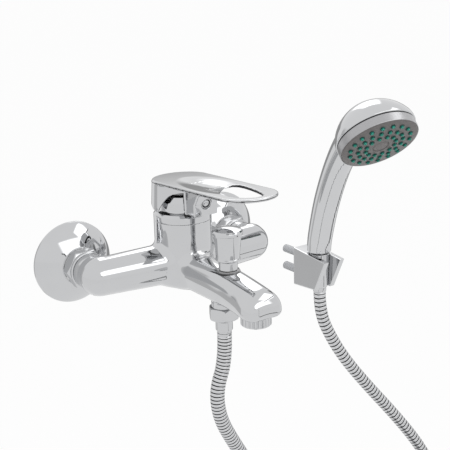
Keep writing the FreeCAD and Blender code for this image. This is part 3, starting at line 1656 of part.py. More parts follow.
def handle_axis():
    """The line of the handle: places, and the handle's radius there."""
    base = Vector(0, 0, num("handset_base"))
    head = Vector(0, -num("head_forward"), num("head_height"))
    line = [(base + Vector(0, y, rise), num("handle_radius") + swell)
            for y, rise, swell in HANDLE_SECTIONS]
    return line + [(head + Vector(0, y, rise), num("handle_top_radius")) for y, rise in NECK_SECTIONS]


def handle_loft(thinner, floor):
    """The handle's outside, or its hollow where it is thinner and starts above its floor."""
    line = handle_axis()
    wires = []
    for k, (place, radius) in enumerate(line):
        before, after = line[max(k - 1, 0)][0], line[min(k + 1, len(line) - 1)][0]
        ahead = Vector(0, 0, 1) if k == 0 else (after - before).normalize()
        if k == 0:
            place = place + Vector(0, 0, floor)
        circle = Part.makeCircle(radius - thinner)
        circle.Placement = Placement(place, Rotation(Vector(1, 0, 0), Vector(), ahead, "ZXY"))
        wires.append(Part.Wire([circle]))
    return Part.makeLoft(wires, True, False)


def dome_solid(inset):
    """The head's dome, about its own axis. The face is at 0 and the dome is behind it."""
    edge = num("dome_radius") - inset
    corner = num("dome_corner_radius") - inset
    depth = num("dome_depth") - inset
    back = -num("ring_depth")
    across = edge - corner
    deep = (across**2 - (depth - corner)**2) / (2 * (depth - corner))
    crown = depth + deep
    reach = math.hypot(across, deep)
    meet = Vector(across, 0, -deep).normalize() if reach else Vector(1, 0, 0)
    middle_way = Vector(across / 2, 0, -crown).normalize()
    centre = Vector(0, 0, back + deep)
    seam = centre + meet * crown
    apex = Vector(0, 0, back - depth)
    corner_centre = Vector(across, 0, back)
    turn = (Vector(1, 0, 0) + meet).normalize()
    profile = Part.Wire([
        Part.Arc(apex, centre + (meet + Vector(0, 0, -1)).normalize() * crown, seam).toShape(),
        Part.Arc(seam, corner_centre + turn * corner, Vector(edge, 0, back)).toShape(),
        Part.LineSegment(Vector(edge, 0, back), Vector(0, 0, back)).toShape(),
        Part.LineSegment(Vector(0, 0, back), apex).toShape(),
    ])
    return Part.Face(profile).revolve(Vector(0, 0, 0), Vector(0, 0, 1), 360)


def handset_shell():
    """The handle and dome in one hollow shell, with the inlet stub below and the post for the face."""
    head = SWING.inverse() * HEAD
    outer_dome, inner_dome = dome_solid(0), dome_solid(num("dome_wall"))
    up = Vector(0, 0, 1)
    post_foot = num("face_post_foot - ring_depth - dome_depth")
    post_top = num("plate_crown - plate_inset - plate_thickness - face_post_gap")
    post = Part.makeCylinder(
        num("face_post_radius"), post_top - post_foot, up * post_foot, up
    )
    screw_bore = Part.makeCylinder(
        num("face_screw_radius"), num("face_screw_length + tool_overrun"),
        up * (post_top - num("face_screw_length")), up,
    )
    for piece in (outer_dome, inner_dome, post, screw_bore):
        piece.Placement = head
    base, end, past = num("handset_base"), num("inlet_stub_end"), num("tool_overrun")
    stub = Part.makeCylinder(num("inlet_stub_radius"), base - end + past, up * end, up)
    bore = Part.makeCylinder(num("inlet_stub_bore"), base - end + num("handle_floor") + 2 * past,
                             up * (end - past), up)
    shell = handle_loft(0, 0).fuse([outer_dome, stub])
    hollow = handle_loft(num("handle_wall"), num("handle_floor")).fuse(inner_dome)
    return shell.cut(hollow).fuse(post).cut(bore.fuse(screw_bore))


shape_node("handset_body", handset_shell(), SWING)


def inner_tube_solid():
    """The water tube in the handle, from the stub's floor to the head."""
    line = [place for place, _ in handle_axis()]
    floor = num("handset_base + handle_floor")
    foot = Vector(0, 0, floor + num("inner_tube_gap"))
    bend = Vector(0, 0, floor + num("inner_tube_straight"))
    route = [foot, bend] + line[2:5]
    edges = run_edges(route, "handset_inner_tube")
    return piped(edges, num("inner_tube_radius")).cut(piped(edges, num("inner_tube_bore")))


shape_node("handset_inner_tube", inner_tube_solid(), SWING)


def at_head(body):
    body.Placement = HEAD
    return body


RING_FOOT = "-ring_depth - ring_spigot"
RING_BORE = "plate_radius + plate_clearance"
ring = at_head(turned(
    "ring_body",
    [
        (RING_BORE, RING_FOOT),
        ("ring_radius", RING_FOOT),
        ("ring_radius", "-ring_chamfer"),
        ("ring_radius - ring_chamfer", "ring_lip"),
        (RING_BORE, "ring_lip"),
    ],
))
node(ring, "handset_ring")
PLATE_CURVE = "(plate_radius^2 + plate_crown^2) / (2 * plate_crown)"


def domed_disc(name, top, thickness):
    """A disc with the face's crown, its middle at top."""
    return at_head(turned(
        name,
        [
            ("0", f"{top} - ({thickness})"),
            ("plate_radius", f"{top} - ({thickness}) - plate_crown"),
            ("plate_radius", f"{top} - plate_crown"),
            ("0", top),
        ],
        arcs={0: (PLATE_CURVE, -1), 2: (PLATE_CURVE, 1)},
    ))


NOZZLE_RINGS = {"outer": SIZES["outer_nozzles"], "middle": SIZES["middle_nozzles"],
                "inner": SIZES["inner_nozzles"]}


def in_rings(body, kind, radius, start, height):
    """Adds a hole or a peg for each nozzle, patterned about the head's axis."""
    for ring_name in NOZZLE_RINGS:
        place = f"{ring_name}_nozzle_ring"
        sketch = body.newObject("Sketcher::SketchObject", f"{body.Name}_{ring_name}")
        sketch.AttachmentSupport = [(origin_plane(body, "XY_Plane"), "")]
        sketch.MapMode = "FlatFace"
        sketch.AttachmentOffset = Placement(Vector(0, 0, num(start)), Rotation())
        circle = Part.Circle(Vector(num(place), 0, 0), Vector(0, 0, 1), num(radius))
        k = sketch.addGeometry(circle, False)
        sketch.addConstraint(Sketcher.Constraint("PointOnObject", k, 3, -1))
        rule = Sketcher.Constraint("DistanceX", -1, 1, k, 3, num(place))
        index = sketch.addConstraint(rule)
        sketch.setExpression(f"Constraints[{index}]", cells(place))
        index = sketch.addConstraint(Sketcher.Constraint("Radius", k, num(radius)))
        sketch.setExpression(f"Constraints[{index}]", cells(radius))
        feature = body.newObject(f"PartDesign::{kind}", f"{body.Name}_{ring_name}_{kind}")
        feature.Profile = sketch
        feature.Reversed = kind == "Pocket"
        feature.setExpression("Length", cells(height(place)))
        doc.recompute()
        pattern = body.newObject("PartDesign::PolarPattern", f"{body.Name}_{ring_name}_pattern")
        pattern.Originals = [feature]
        pattern.Axis = (sketch, ["N_Axis"])
        pattern.Angle = 360
        pattern.setExpression("Occurrences", cells(f"{ring_name}_nozzles"))
        body.Tip = pattern
    return body


def face_height(place):
    """The face's height at a nozzle ring, above the head's own zero."""
    return f"plate_crown - plate_inset - plate_crown * ({place} / plate_radius)^2"


PLATE_TOP = "plate_crown - plate_inset"
MAT_TOP = "plate_crown - plate_inset - plate_thickness"
plate_disc = domed_disc("face_plate_body", PLATE_TOP, "plate_thickness")
in_rings(plate_disc, "Pocket", "nozzle_hole_radius", "-through_cut / 2", lambda place: "through_cut")


def head_rod(name, radius, start, height):
    """A rod on the head's axis."""
    piece = doc.addObject("Part::Cylinder", name)
    piece.setExpression("Radius", cells(radius))
    piece.setExpression("Height", cells(height))
    piece.Placement = HEAD * Placement(Vector(0, 0, num(start)), Rotation())
    return piece


CAP_SEAT = "plate_crown - plate_inset - cap_recess"
SCREW_SEAT = "plate_crown - plate_inset - cap_recess - face_screw_head_height"
face_plate = cut(
    "face_plate_cut",
    plate_disc,
    head_rod("cap_recess_rod", "cap_radius + running_clearance", CAP_SEAT, "through_cut"),
    head_rod("face_screw_recess", "face_screw_head_radius + plate_clearance", SCREW_SEAT,
             "through_cut"),
    head_rod("face_screw_hole", "face_screw_radius + screw_clearance", "-through_cut / 2",
             "through_cut"),
)
node(face_plate, "face_plate")
mat_disc = domed_disc("nozzle_mat_body", MAT_TOP, "mat_thickness")
in_rings(mat_disc, "Pad", "nozzle_radius", "-nozzle_root",
         lambda place: f"nozzle_root + nozzle_height + {face_height(place)}")
nozzle_mat = cut("nozzle_mat_cut", mat_disc,
                 head_rod("mat_post_hole", "face_post_radius + plate_clearance", "-through_cut / 2",
                          "through_cut"))
node(nozzle_mat, "nozzle_mat")
node(head_rod("face_cap_rod", "cap_radius", CAP_SEAT, "cap_recess + cap_height"), "face_cap")
face_screw = cut(
    "face_screw_cut",
    fuse(
        "face_screw_solid",
        head_rod("face_screw_head", "face_screw_head_radius", SCREW_SEAT,
                 "face_screw_head_height - screw_clearance"),
        head_rod("face_screw_shank", "face_screw_radius", f"{SCREW_SEAT} - face_screw_thread",
                 "face_screw_thread"),
    ),
    head_rod("face_screw_drive", "face_screw_radius", f"{SCREW_SEAT} + face_screw_drive_floor",
             "through_cut"),
)
node(face_screw, "face_screw")
head_seal = doc.addObject("Part::Torus", "head_seal")
head_seal.setExpression("Radius1", cells("ring_radius - 2 * head_seal_section"))
head_seal.setExpression("Radius2", cells("head_seal_section"))
head_seal.Placement = HEAD * Placement(Vector(0, 0, num(f"{RING_FOOT} - head_seal_section")),
                                       Rotation())
node(head_seal, "head_o_ring")

# Checks and files

doc.recompute()
for thing in doc.Objects:
    if "Invalid" in thing.State or "Error" in thing.State:
        raise RuntimeError(f"{thing.Label} failed: {thing.State}")
for piece in NODES:
    shape = piece.Shape
    if shape.isNull() or not shape.isValid() or not shape.Solids:
        raise RuntimeError(f"{piece.Label} has no valid solid")

os.makedirs("parts", exist_ok=True)
for piece in NODES:
    piece.Shape.exportStep(f"parts/{piece.Label}.step")
    print(piece.Label, len(piece.Shape.Solids), round(piece.Shape.Volume, 1))
print(len(NODES), "nodes")
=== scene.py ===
"""Looks of a wall-mounted bath mixer with its hose, hand shower and bracket.

Shapes are worked out in millimetres and become metres where their meshes are made.
"""

import json
import math

import bpy
import numpy as np
from mathutils import Matrix, Vector


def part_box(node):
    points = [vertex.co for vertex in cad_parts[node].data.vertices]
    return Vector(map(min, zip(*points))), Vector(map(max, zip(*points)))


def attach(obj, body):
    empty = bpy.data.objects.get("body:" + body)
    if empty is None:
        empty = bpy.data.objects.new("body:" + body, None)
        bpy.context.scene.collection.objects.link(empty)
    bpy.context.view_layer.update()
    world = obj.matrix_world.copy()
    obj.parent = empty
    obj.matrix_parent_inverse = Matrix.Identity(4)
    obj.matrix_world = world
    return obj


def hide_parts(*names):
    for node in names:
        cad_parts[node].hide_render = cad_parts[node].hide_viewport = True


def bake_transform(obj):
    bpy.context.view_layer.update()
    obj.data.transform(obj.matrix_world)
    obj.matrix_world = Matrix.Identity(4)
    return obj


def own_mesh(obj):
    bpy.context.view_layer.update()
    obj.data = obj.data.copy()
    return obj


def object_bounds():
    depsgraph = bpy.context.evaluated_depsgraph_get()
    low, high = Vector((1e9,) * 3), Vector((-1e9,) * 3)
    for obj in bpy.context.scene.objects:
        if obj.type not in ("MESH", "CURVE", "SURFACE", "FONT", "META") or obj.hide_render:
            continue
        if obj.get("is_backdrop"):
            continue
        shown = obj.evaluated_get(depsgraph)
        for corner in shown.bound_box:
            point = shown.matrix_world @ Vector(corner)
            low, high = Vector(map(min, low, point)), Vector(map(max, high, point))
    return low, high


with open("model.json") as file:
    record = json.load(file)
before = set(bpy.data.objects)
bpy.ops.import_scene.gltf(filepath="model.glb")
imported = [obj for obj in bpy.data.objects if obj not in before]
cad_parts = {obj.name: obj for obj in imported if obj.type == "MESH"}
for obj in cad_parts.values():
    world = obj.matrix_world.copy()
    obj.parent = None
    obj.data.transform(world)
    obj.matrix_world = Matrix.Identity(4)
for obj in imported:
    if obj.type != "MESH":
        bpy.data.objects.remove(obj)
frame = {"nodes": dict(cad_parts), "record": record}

CAD_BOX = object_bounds()
MM = 0.001


def new_object(name, data):
    """An object that is in the scene."""
    piece = bpy.data.objects.new(name, data)
    bpy.context.scene.collection.objects.link(piece)
    return piece


def direction(azimuth, elevation):
    """The way from the object to a viewer at two angles in degrees."""
    a, e = math.radians(azimuth), math.radians(elevation)
    return Vector((math.sin(a) * math.cos(e), -math.cos(a) * math.cos(e), math.sin(e)))


# Camera, solved from the photograph

FRAME_PIXELS = 450
FOCAL_PIXELS = 1010
CAMERA_PLACE = (-0.423, -0.747, 0.267)
CAMERA_AZIMUTH, CAMERA_ELEVATION, CAMERA_ROLL = -34.1, 16.36, -1.64


def make_camera():
    back, right = direction(CAMERA_AZIMUTH, CAMERA_ELEVATION), direction(CAMERA_AZIMUTH + 90, 0)
    up = back.cross(right)
    roll = math.radians(CAMERA_ROLL)
    across = right * math.cos(roll) + up * math.sin(roll)
    upward = up * math.cos(roll) - right * math.sin(roll)
    data = bpy.data.cameras.new("camera")
    data.lens = data.sensor_width * FOCAL_PIXELS / FRAME_PIXELS
    camera = new_object("camera", data)
    turn = Matrix((across, upward, back)).transposed().to_4x4()
    camera.matrix_world = Matrix.Translation(CAMERA_PLACE) @ turn
    bpy.context.scene.camera = camera


make_camera()
bpy.context.scene.view_settings.view_transform = "Standard"


# Sizes read from the frame, in millimetres

def corners_of(node):
    """The low and the high corner of a node's box."""
    return [[c / MM for c in corner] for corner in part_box(node)]


def span(node, axis):
    """The lowest and highest place of a node along an axis."""
    return [corner["xyz".index(axis)] for corner in corners_of(node)]


def middle(node, axis):
    return sum(span(node, axis)) / 2


TOWER_Y = middle("dome_cover", "y")
TOWER_RADIUS = np.ptp(span("dome_cover", "x")) / 2
TOWER_TOP = span("dome_cover", "z")[0]
KNOB_Y = middle("diverter_knob", "y")
OUTLET_Y = middle("shower_outlet_nipple", "y")
INLET_X = middle("flange_right", "x")
STAND_X = middle("bracket_body", "x")
STAND_Y = middle("hose_cone_nut", "y")


# Meshes from points

def add_mesh(name, points, faces, normals=None):
    """A smooth mesh from places in millimetres, with normals where they are given."""
    mesh = bpy.data.meshes.new(name)
    mesh.from_pydata((np.asarray(points) * MM).tolist(), [], faces)
    mesh.validate()
    mesh.shade_smooth()
    if normals is not None:
        mesh.normals_split_custom_set_from_vertices(np.asarray(normals).tolist())
    return new_object(name, mesh)


def finish_piece(piece, slot, body, node, look=None):
    """Gives a piece the material of its slot, hides the node that it stands for, and puts it on its
    body.
    """
    piece.data.materials.append(MATERIALS[look or SLOT_LOOKS.get(slot, slot)])
    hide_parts(node)
    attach(piece, body)
    return piece


def more_materials(piece, choices, *looks):
    """Gives a piece further materials, and each face its choice: 0 is the one that it has."""
    for look in looks:
        piece.data.materials.append(MATERIALS[look])
    piece.data.polygons.foreach_set("material_index", np.asarray(choices, int).tolist())


def centres_of(piece):
    """The middles of a piece's faces, in millimetres."""
    middles = np.empty(len(piece.data.polygons) * 3)
    piece.data.polygons.foreach_get("center", middles)
    return middles.reshape(-1, 3) / MM


# Signed distances in millimetres, negative inside. Points come as an array of rows

def fillet_union(a, b, radius):
    """Joins two shapes with a fillet where they meet."""
    inner = np.hypot(np.maximum(radius - a, 0), np.maximum(radius - b, 0))
    return np.maximum(radius, np.minimum(a, b)) - inner


def round_cut(a, b, radius):
    """Keeps what lies in both shapes and rounds the edge between them."""
    return -fillet_union(-a, -b, radius)


def common(*shapes):
    """Keeps what lies in all of the shapes, with sharp edges."""
    return np.maximum.reduce(shapes)


def round_cone(p, start, end, start_radius, end_radius):
    """A taper with a ball at each end, in two or three dimensions."""
    start, end = np.asarray(start, float), np.asarray(end, float)
    along = end - start
    length = np.linalg.norm(along)
    along = along / length
    q = p - start
    y = q @ along
    x = np.sqrt(np.maximum((q * q).sum(1) - y * y, 0))
    slope = (start_radius - end_radius) / length
    lean = math.sqrt(1 - slope * slope)
    k = y * lean - x * slope
    side = x * lean + y * slope - start_radius
    at_start = np.hypot(x, y) - start_radius
    at_end = np.hypot(x, y - length) - end_radius
    foot = y - x * slope / lean
    return np.where(foot < 0, at_start, np.where(foot > length, at_end, side))


def polygon(u, v, corners):
    """The exact distance to a polygon in a plane."""
    best = np.full(u.shape, np.inf)
    sign = np.ones(u.shape)
    for k, (au, av) in enumerate(corners):
        bu, bv = corners[k - 1]
        eu, ev = bu - au, bv - av
        wu, wv = u - au, v - av
        share = np.clip((wu * eu + wv * ev) / (eu * eu + ev * ev), 0, 1)
        best = np.minimum(best, (wu - eu * share) ** 2 + (wv - ev * share) ** 2)
        crossing = ((v >= av) != (v >= bv)) & ((eu * wv - ev * wu > 0) == (ev > 0))
        sign[crossing] *= -1
    return sign * np.sqrt(best)


# Surfaces from signed distances

# Cells along a block's side, and the reach from its middle, in sides, that is worked out in full
BLOCK, BLOCK_REACH = 4, 1.5
# Cell sizes for small and for large pieces
FINE, COARSE = 0.5, 0.8


def gradient(field, p, step=0.02):
    """The direction in which a field grows fastest."""
    slopes = np.stack([field(p + shift) - field(p - shift) for shift in np.eye(3) * step], 1)
    return slopes / np.maximum(np.linalg.norm(slopes, axis=1), 1e-9)[:, None]


def field_values(field, low, shape, cell):
    """The field on a grid, worked out in full only in the blocks that the surface may cross."""
    blocks = [math.ceil(n / BLOCK) for n in shape]
    index = np.stack(np.meshgrid(*[np.arange(n) for n in blocks], indexing="ij"), -1).reshape(-1, 3)
    middles = low + (index * BLOCK + BLOCK / 2) * cell
    rough = field(middles)
    values = np.repeat(np.repeat(np.repeat(rough.reshape(blocks), BLOCK, 0), BLOCK, 1), BLOCK, 2)
    near = index[np.abs(rough) < BLOCK * cell * BLOCK_REACH]
    offsets = np.stack(np.meshgrid(*[np.arange(BLOCK)] * 3, indexing="ij"), -1).reshape(-1, 3)
    fine = (near[:, None] * BLOCK + offsets[None]).reshape(-1, 3)
    values[tuple(fine.T)] = field(low + fine * cell)
    return values


def field_surface(name, field, low, high, cell):
    """A closed mesh on the zero of a field: a point for each cell that the zero crosses, at the
    middle of its crossings, then drawn onto it."""
    low = np.asarray(low, float) - 2 * cell
    shape = [math.ceil((h - l) / cell) + 4 for l, h in zip(low, high)]
    values = field_values(field, low, shape, cell)
    inside = values < 0
    owners, crossings, quads, flips = [], [], [], []
    size, units = values.shape, np.eye(3, dtype=int)
    strides = np.array((size[1] * size[2], size[2], 1))
    for axis in range(3):
        ahead = np.roll(inside, -1, axis)
        change = inside != ahead
        np.moveaxis(change, axis, 0)[-1] = False
        at = np.argwhere(change)
        start = values[tuple(at.T)]
        step, one, two = units[axis], units[axis - 2], units[axis - 1]
        end = values[tuple((at + step).T)]
        place = at + step * (start / (start - end))[:, None]
        around = ((0, 0), (1, 0), (1, 1), (0, 1))
        cells = np.stack([(at - a * one - b * two) @ strides for a, b in around], 1)
        owners.append(cells.ravel())
        crossings.append(np.repeat(place, 4, axis=0))
        quads.append(cells)
        flips.append(start > 0)
    owners, crossings = np.concatenate(owners), np.concatenate(crossings)
    quads, flips = np.concatenate(quads), np.concatenate(flips)
    ids, where = np.unique(owners, return_inverse=True)
    counts = np.bincount(where)
    points = np.stack([np.bincount(where, crossings[:, a]) / counts for a in range(3)], 1)
    points = low + points * cell
    for _ in range(3):
        normals = gradient(field, points)
        points -= normals * np.clip(field(points), -cell, cell)[:, None]
    faces = np.searchsorted(ids, quads)
    faces[flips] = faces[flips][:, ::-1]
    return add_mesh(name, points, faces.tolist(), gradient(field, points))


# Turned pieces

# Angle between the points of a rounded corner, and the most of a side that a corner may take
ROUND_STEP, SIDE_SHARE = 0.22, 0.49


def rounded_profile(corners):
    """Points and normals of an outline through corners: (radius, height), and its round if any."""
    out = []
    count = len(corners)
    for k, corner in enumerate(corners):
        here, radius = np.array(corner[:2], float), sum(corner[2:])
        before = np.array(corners[k - 1][:2], float) - here
        after = np.array(corners[(k + 1) % count][:2], float) - here
        lengths = np.linalg.norm(before), np.linalg.norm(after)
        before, after = before / lengths[0], after / lengths[1]
        outward = np.array((after[1], -after[0])), np.array((-before[1], before[0]))
        if radius == 0:
            normal = outward[0] + outward[1]
            out.append((*here, *(normal / np.linalg.norm(normal))))
            continue
        bend = math.acos(np.clip(-before @ after, -1, 1))
        reach = min(radius * math.tan(bend / 2), SIDE_SHARE * min(lengths))
        radius = reach / math.tan(bend / 2)
        turn = 1 if before[0] * after[1] - before[1] * after[0] < 0 else -1
        centre = here + before * reach - outward[1] * radius * turn
        steps = max(3, math.ceil(bend / ROUND_STEP))
        first = math.atan2(*(outward[1] * turn)[::-1])
        for step in range(steps + 1):
            angle = first + turn * bend * step / steps
            way = np.array((math.cos(angle), math.sin(angle)))
            out.append((*(centre + way * radius), *(way * turn)))
    return np.array(out)


def arc_corners(start, end, bulge, steps):
    """Corners along an arc. The bulge is its height to the right of the way from start to end."""
    start, end = np.array(start, float), np.array(end, float)
    chord = end - start
    length = np.linalg.norm(chord)
    side = np.array((chord[1], -chord[0])) / length
    radius = (length ** 2 / 4 + bulge ** 2) / (2 * bulge)
    centre = (start + end) / 2 + side * (bulge - radius)
    a, b = (math.atan2(*(point - centre)[::-1]) for point in (start, end))
    turn = (b - a + math.pi) % math.tau - math.pi
    size = abs(radius)
    return [(centre[0] + size * math.cos(a + turn * k / steps),
             centre[1] + size * math.sin(a + turn * k / steps)) for k in range(1, steps)]


def turned(name, corners, place, axis=(0, 0, 1), sides=96):
    """A solid of revolution. The corners run counter-clockwise."""
    profile = rounded_profile(corners)
    turn = Vector((0, 0, 1)).rotation_difference(Vector(axis)).to_matrix()
    turn, place = np.array(turn), np.array(place, float)
    angles = np.arange(sides) * math.tau / sides
    spokes = np.stack((np.cos(angles), np.sin(angles), np.zeros(sides)), 1)
    up = np.array((0, 0, 1))
    points, normals, rings = [], [], []
    for r, h, nr, nh in profile:
        if r < 1e-6:
            rings.append([len(points)] * sides)
            points.append(up * h)
            normals.append(up * math.copysign(1, nh))
            continue
        rings.append(list(range(len(points), len(points) + sides)))
        points.extend(spokes * r + up * h)
        normals.extend(spokes * nr + up * nh)
    faces = []
    for k, lower in enumerate(rings):
        upper = rings[(k + 1) % len(rings)]
        for i in range(sides):
            j = (i + 1) % sides
            face = list(dict.fromkeys((lower[i], lower[j], upper[j], upper[i])))
            if len(face) > 2:
                faces.append(face)
    points = np.array(points) @ turn.T + place
    return add_mesh(name, points, faces, np.array(normals) @ turn.T)


# Hose routes, in millimetres, as the part has them

COIL_CENTRE = Vector((236, -98, -345))
COIL_RADIUS = 60
COIL_PITCH = 13
COIL_START_ANGLE = 235
COIL_WHOLE_TURNS = 2
COIL_LEAD = 14
MIXER_LEAD, HANDSET_LEAD = 45, 40
HOSE_RADIUS, VALLEY_RADIUS = 6.0, 5.3
MIXER_PITCH = 2.94
HANDSET_PITCH = 4.24
MIXER_END = Vector((0, OUTLET_Y, span("hose_ferrule_mixer", "z")[0]))
HANDSET_END = Vector((STAND_X, STAND_Y, span("hose_ferrule_handset", "z")[0]))
STRAIGHT_DROP = Vector((0, 0, -23))
TURN_POINTS = 16


def coil_at(turn, radius=COIL_RADIUS):
    """The place and the heading on the coil's helix after a number of turns."""
    angle = math.radians(COIL_START_ANGLE) + turn * math.tau
    x, z = math.cos(angle), math.sin(angle)
    place = COIL_CENTRE + Vector((x, 0, z)) * radius + Vector((0, COIL_PITCH * turn, 0))
    heading = Vector((-z, 0, x)) * radius * math.tau + Vector((0, COIL_PITCH, 0))
    return place, heading.normalized()


COIL_TURNS = (360 - COIL_START_ANGLE) / 360 + COIL_WHOLE_TURNS
HELIX_START, START_HEADING = coil_at(0)
HELIX_END, END_HEADING = coil_at(COIL_TURNS)
COIL_START = HELIX_START - START_HEADING * COIL_LEAD
COIL_END = HELIX_END + END_HEADING * COIL_LEAD


def coil_points():
    """Control points of the coil, set a little outside it, as a spline runs inside them."""
    steps = math.ceil(COIL_TURNS * TURN_POINTS)
    share = COIL_TURNS / steps
    outer = COIL_RADIUS / math.cos(share * math.pi)
    return [coil_at((k + 0.5) * share, outer)[0] for k in range(steps)]


MIXER_ROUTE = [
    MIXER_END, MIXER_END + STRAIGHT_DROP,
    *map(Vector, ((-10, -117, -95), (-7, -117, -121), (5, -117, -145), (18, -117, -168),
                  (32, -116.4, -190.5), (46, -115.8, -213), (70, -114, -250), (97, -111, -290),
                  (126, -107, -330))),
    HELIX_START - START_HEADING * MIXER_LEAD, COIL_START, *coil_points(), COIL_END,
]
HANDSET_ROUTE = [
    HANDSET_END, HANDSET_END + STRAIGHT_DROP,
    *map(Vector, ((189, -28.5, -131), (204, -35, -158), (229, -43, -192), (251.5, -51, -221),
                  (277.5, -60, -257.5))),
    COIL_END + END_HEADING * HANDSET_LEAD, COIL_END,
]


def route_line(route):
    """Points, in millimetres, along the spline that a route controls."""
    curve = bpy.data.curves.new("route", "CURVE")
    curve.dimensions = "3D"
    curve.resolution_u = 24
    spline = curve.splines.new("NURBS")
    spline.points.add(len(route) - 1)
    for point, place in zip(spline.points, route):
        point.co = (*(place * MM), 1)
    spline.order_u = 3
    spline.use_endpoint_u = True
    holder = new_object("route", curve)
    line = bpy.data.meshes.new_from_object(holder)
    places = np.array([v.co for v in line.vertices]) / MM
    bpy.data.objects.remove(holder)
    return places


def lengths_along(line):
    return np.concatenate(([0], np.cumsum(np.linalg.norm(np.diff(line, axis=0), axis=1))))


def frames_along(line):
    """Two directions square to a line at each point, turned as little as can be."""
    ahead = np.gradient(line, axis=0)
    ahead /= np.linalg.norm(ahead, axis=1)[:, None]
    aside = np.zeros_like(line)
    aside[0] = np.cross(ahead[0], (0, 1, 0))
    for k in range(1, len(line)):
        aside[k] = aside[k - 1] - ahead[k] * (aside[k - 1] @ ahead[k])
    aside /= np.linalg.norm(aside, axis=1)[:, None]
    return aside, np.cross(ahead, aside)


# One rib of the hose: share of the pitch and share of the rib's height
RIB_PROFILE = ((0.00, 0.0), (0.07, 0.0), (0.13, 0.72), (0.22, 0.97), (0.50, 1.0), (0.76, 0.97),
               (0.86, 0.72), (0.92, 0.0))
# Rows of faces that line the valley between two ribs, given a near-black material as painted shade
VALLEY_ROWS = (0, 1, 6, 7)
# The cuff at each end: its length, and its profile as shares of that and of the rib's height
CUFF = 2.0
CUFF_PROFILE = ((0, 0.95), (0.8, 1.0))
HOSE_SIDES = 28


def ribbed_hose(name, route, pitch):
    """A hose of ring-shaped ribs along a route, with its line."""
    line = route_line(route)
    run = lengths_along(line)
    ribs = round((run[-1] - 2 * CUFF) / pitch)
    step = (run[-1] - 2 * CUFF) / ribs
    stations = [(share * CUFF, rise) for share, rise in CUFF_PROFILE]
    stations += [(CUFF + (k + share) * step, rise) for k in range(ribs) for share, rise in RIB_PROFILE]
    stations += [(run[-1] - share * CUFF, rise) for share, rise in reversed(CUFF_PROFILE)]
    places, rises = np.array(stations).T
    centres = np.stack([np.interp(places, run, line[:, i]) for i in range(3)], 1)
    aside, across = frames_along(centres)
    angles = np.arange(HOSE_SIDES) * math.tau / HOSE_SIDES
    radii = VALLEY_RADIUS + (HOSE_RADIUS - VALLEY_RADIUS) * rises
    cosines, sines = np.cos(angles)[None, :, None], np.sin(angles)[None, :, None]
    ring = aside[:, None] * cosines + across[:, None] * sines
    points = (centres[:, None] + ring * radii[:, None, None]).reshape(-1, 3)
    faces = tube_faces(len(centres), HOSE_SIDES)
    hose = add_mesh(name, points, faces)
    # Valley faces get painted shade: a near-black material where the ribs shade each other
    valley_painted_shade = np.zeros(len(faces), int)
    for k in range(ribs):
        for row in VALLEY_ROWS:
            start = (len(CUFF_PROFILE) + k * len(RIB_PROFILE) + row) * HOSE_SIDES
            valley_painted_shade[start:start + HOSE_SIDES] = 1
    hose.data.materials.append(MATERIALS["hose_chrome"])
    more_materials(hose, valley_painted_shade, "hose_valley_painted_shade")
    return hose, line


def tube_faces(rows, columns):
    """Quads of a tube of rings, each ring closed on itself, and a face at each end."""
    k, i = np.meshgrid(np.arange(rows - 1), np.arange(columns), indexing="ij")
    after = (i + 1) % columns
    quads = np.stack((k * columns + i, k * columns + after, (k + 1) * columns + after,
                      (k + 1) * columns + i), -1)
    ends = np.arange(columns), np.arange(columns) + (rows - 1) * columns
    return quads.reshape(-1, 4).tolist() + [ends[0][::-1].tolist(), ends[1].tolist()]


# Materials

GRAIN_SIZE = 0.4


def new_material(name):
    material = bpy.data.materials.new(name)
    material.use_nodes = True
    return material, material.node_tree.nodes, material.node_tree.links


def set_inputs(node, values):
    for name, value in values.items():
        node.inputs[name].default_value = value


def surface(name, colour, metallic, roughness, grain, tint, bump=0.0, bump_size=6.0):
    """A surface whose roughness varies by grain and its colour by tint. Bumps are in millimetres."""
    material, nodes, links = new_material(name)
    shader, place = nodes["Principled BSDF"], nodes.new("ShaderNodeTexCoord")
    set_inputs(shader, {"Metallic": metallic})
    fine, wide = nodes.new("ShaderNodeTexNoise"), nodes.new("ShaderNodeTexNoise")
    for noise, size, detail in ((fine, GRAIN_SIZE, 3), (wide, bump_size, 2)):
        set_inputs(noise, {"Scale": 1 / (size * MM), "Detail": detail})
        links.new(place.outputs["Object"], noise.inputs["Vector"])
    rough = nodes.new("ShaderNodeMapRange")
    set_inputs(rough, {"To Min": max(roughness - grain, 0), "To Max": roughness + grain})
    links.new(fine.outputs["Fac"], rough.inputs["Value"])
    links.new(rough.outputs["Result"], shader.inputs["Roughness"])
    shade = nodes.new("ShaderNodeMix")
    shade.data_type = "RGBA"
    set_inputs(shade, {"A": (*[c * (1 - tint) for c in colour], 1),
                       "B": (*[min(c * (1 + tint), 1) for c in colour], 1)})
    links.new(wide.outputs["Fac"], shade.inputs["Factor"])
    links.new(shade.outputs["Result"], shader.inputs["Base Color"])
    if bump:
        lift = nodes.new("ShaderNodeBump")
        set_inputs(lift, {"Distance": bump * MM})
        links.new(wide.outputs["Fac"], lift.inputs["Height"])
        links.new(lift.outputs["Normal"], shader.inputs["Normal"])
    return material


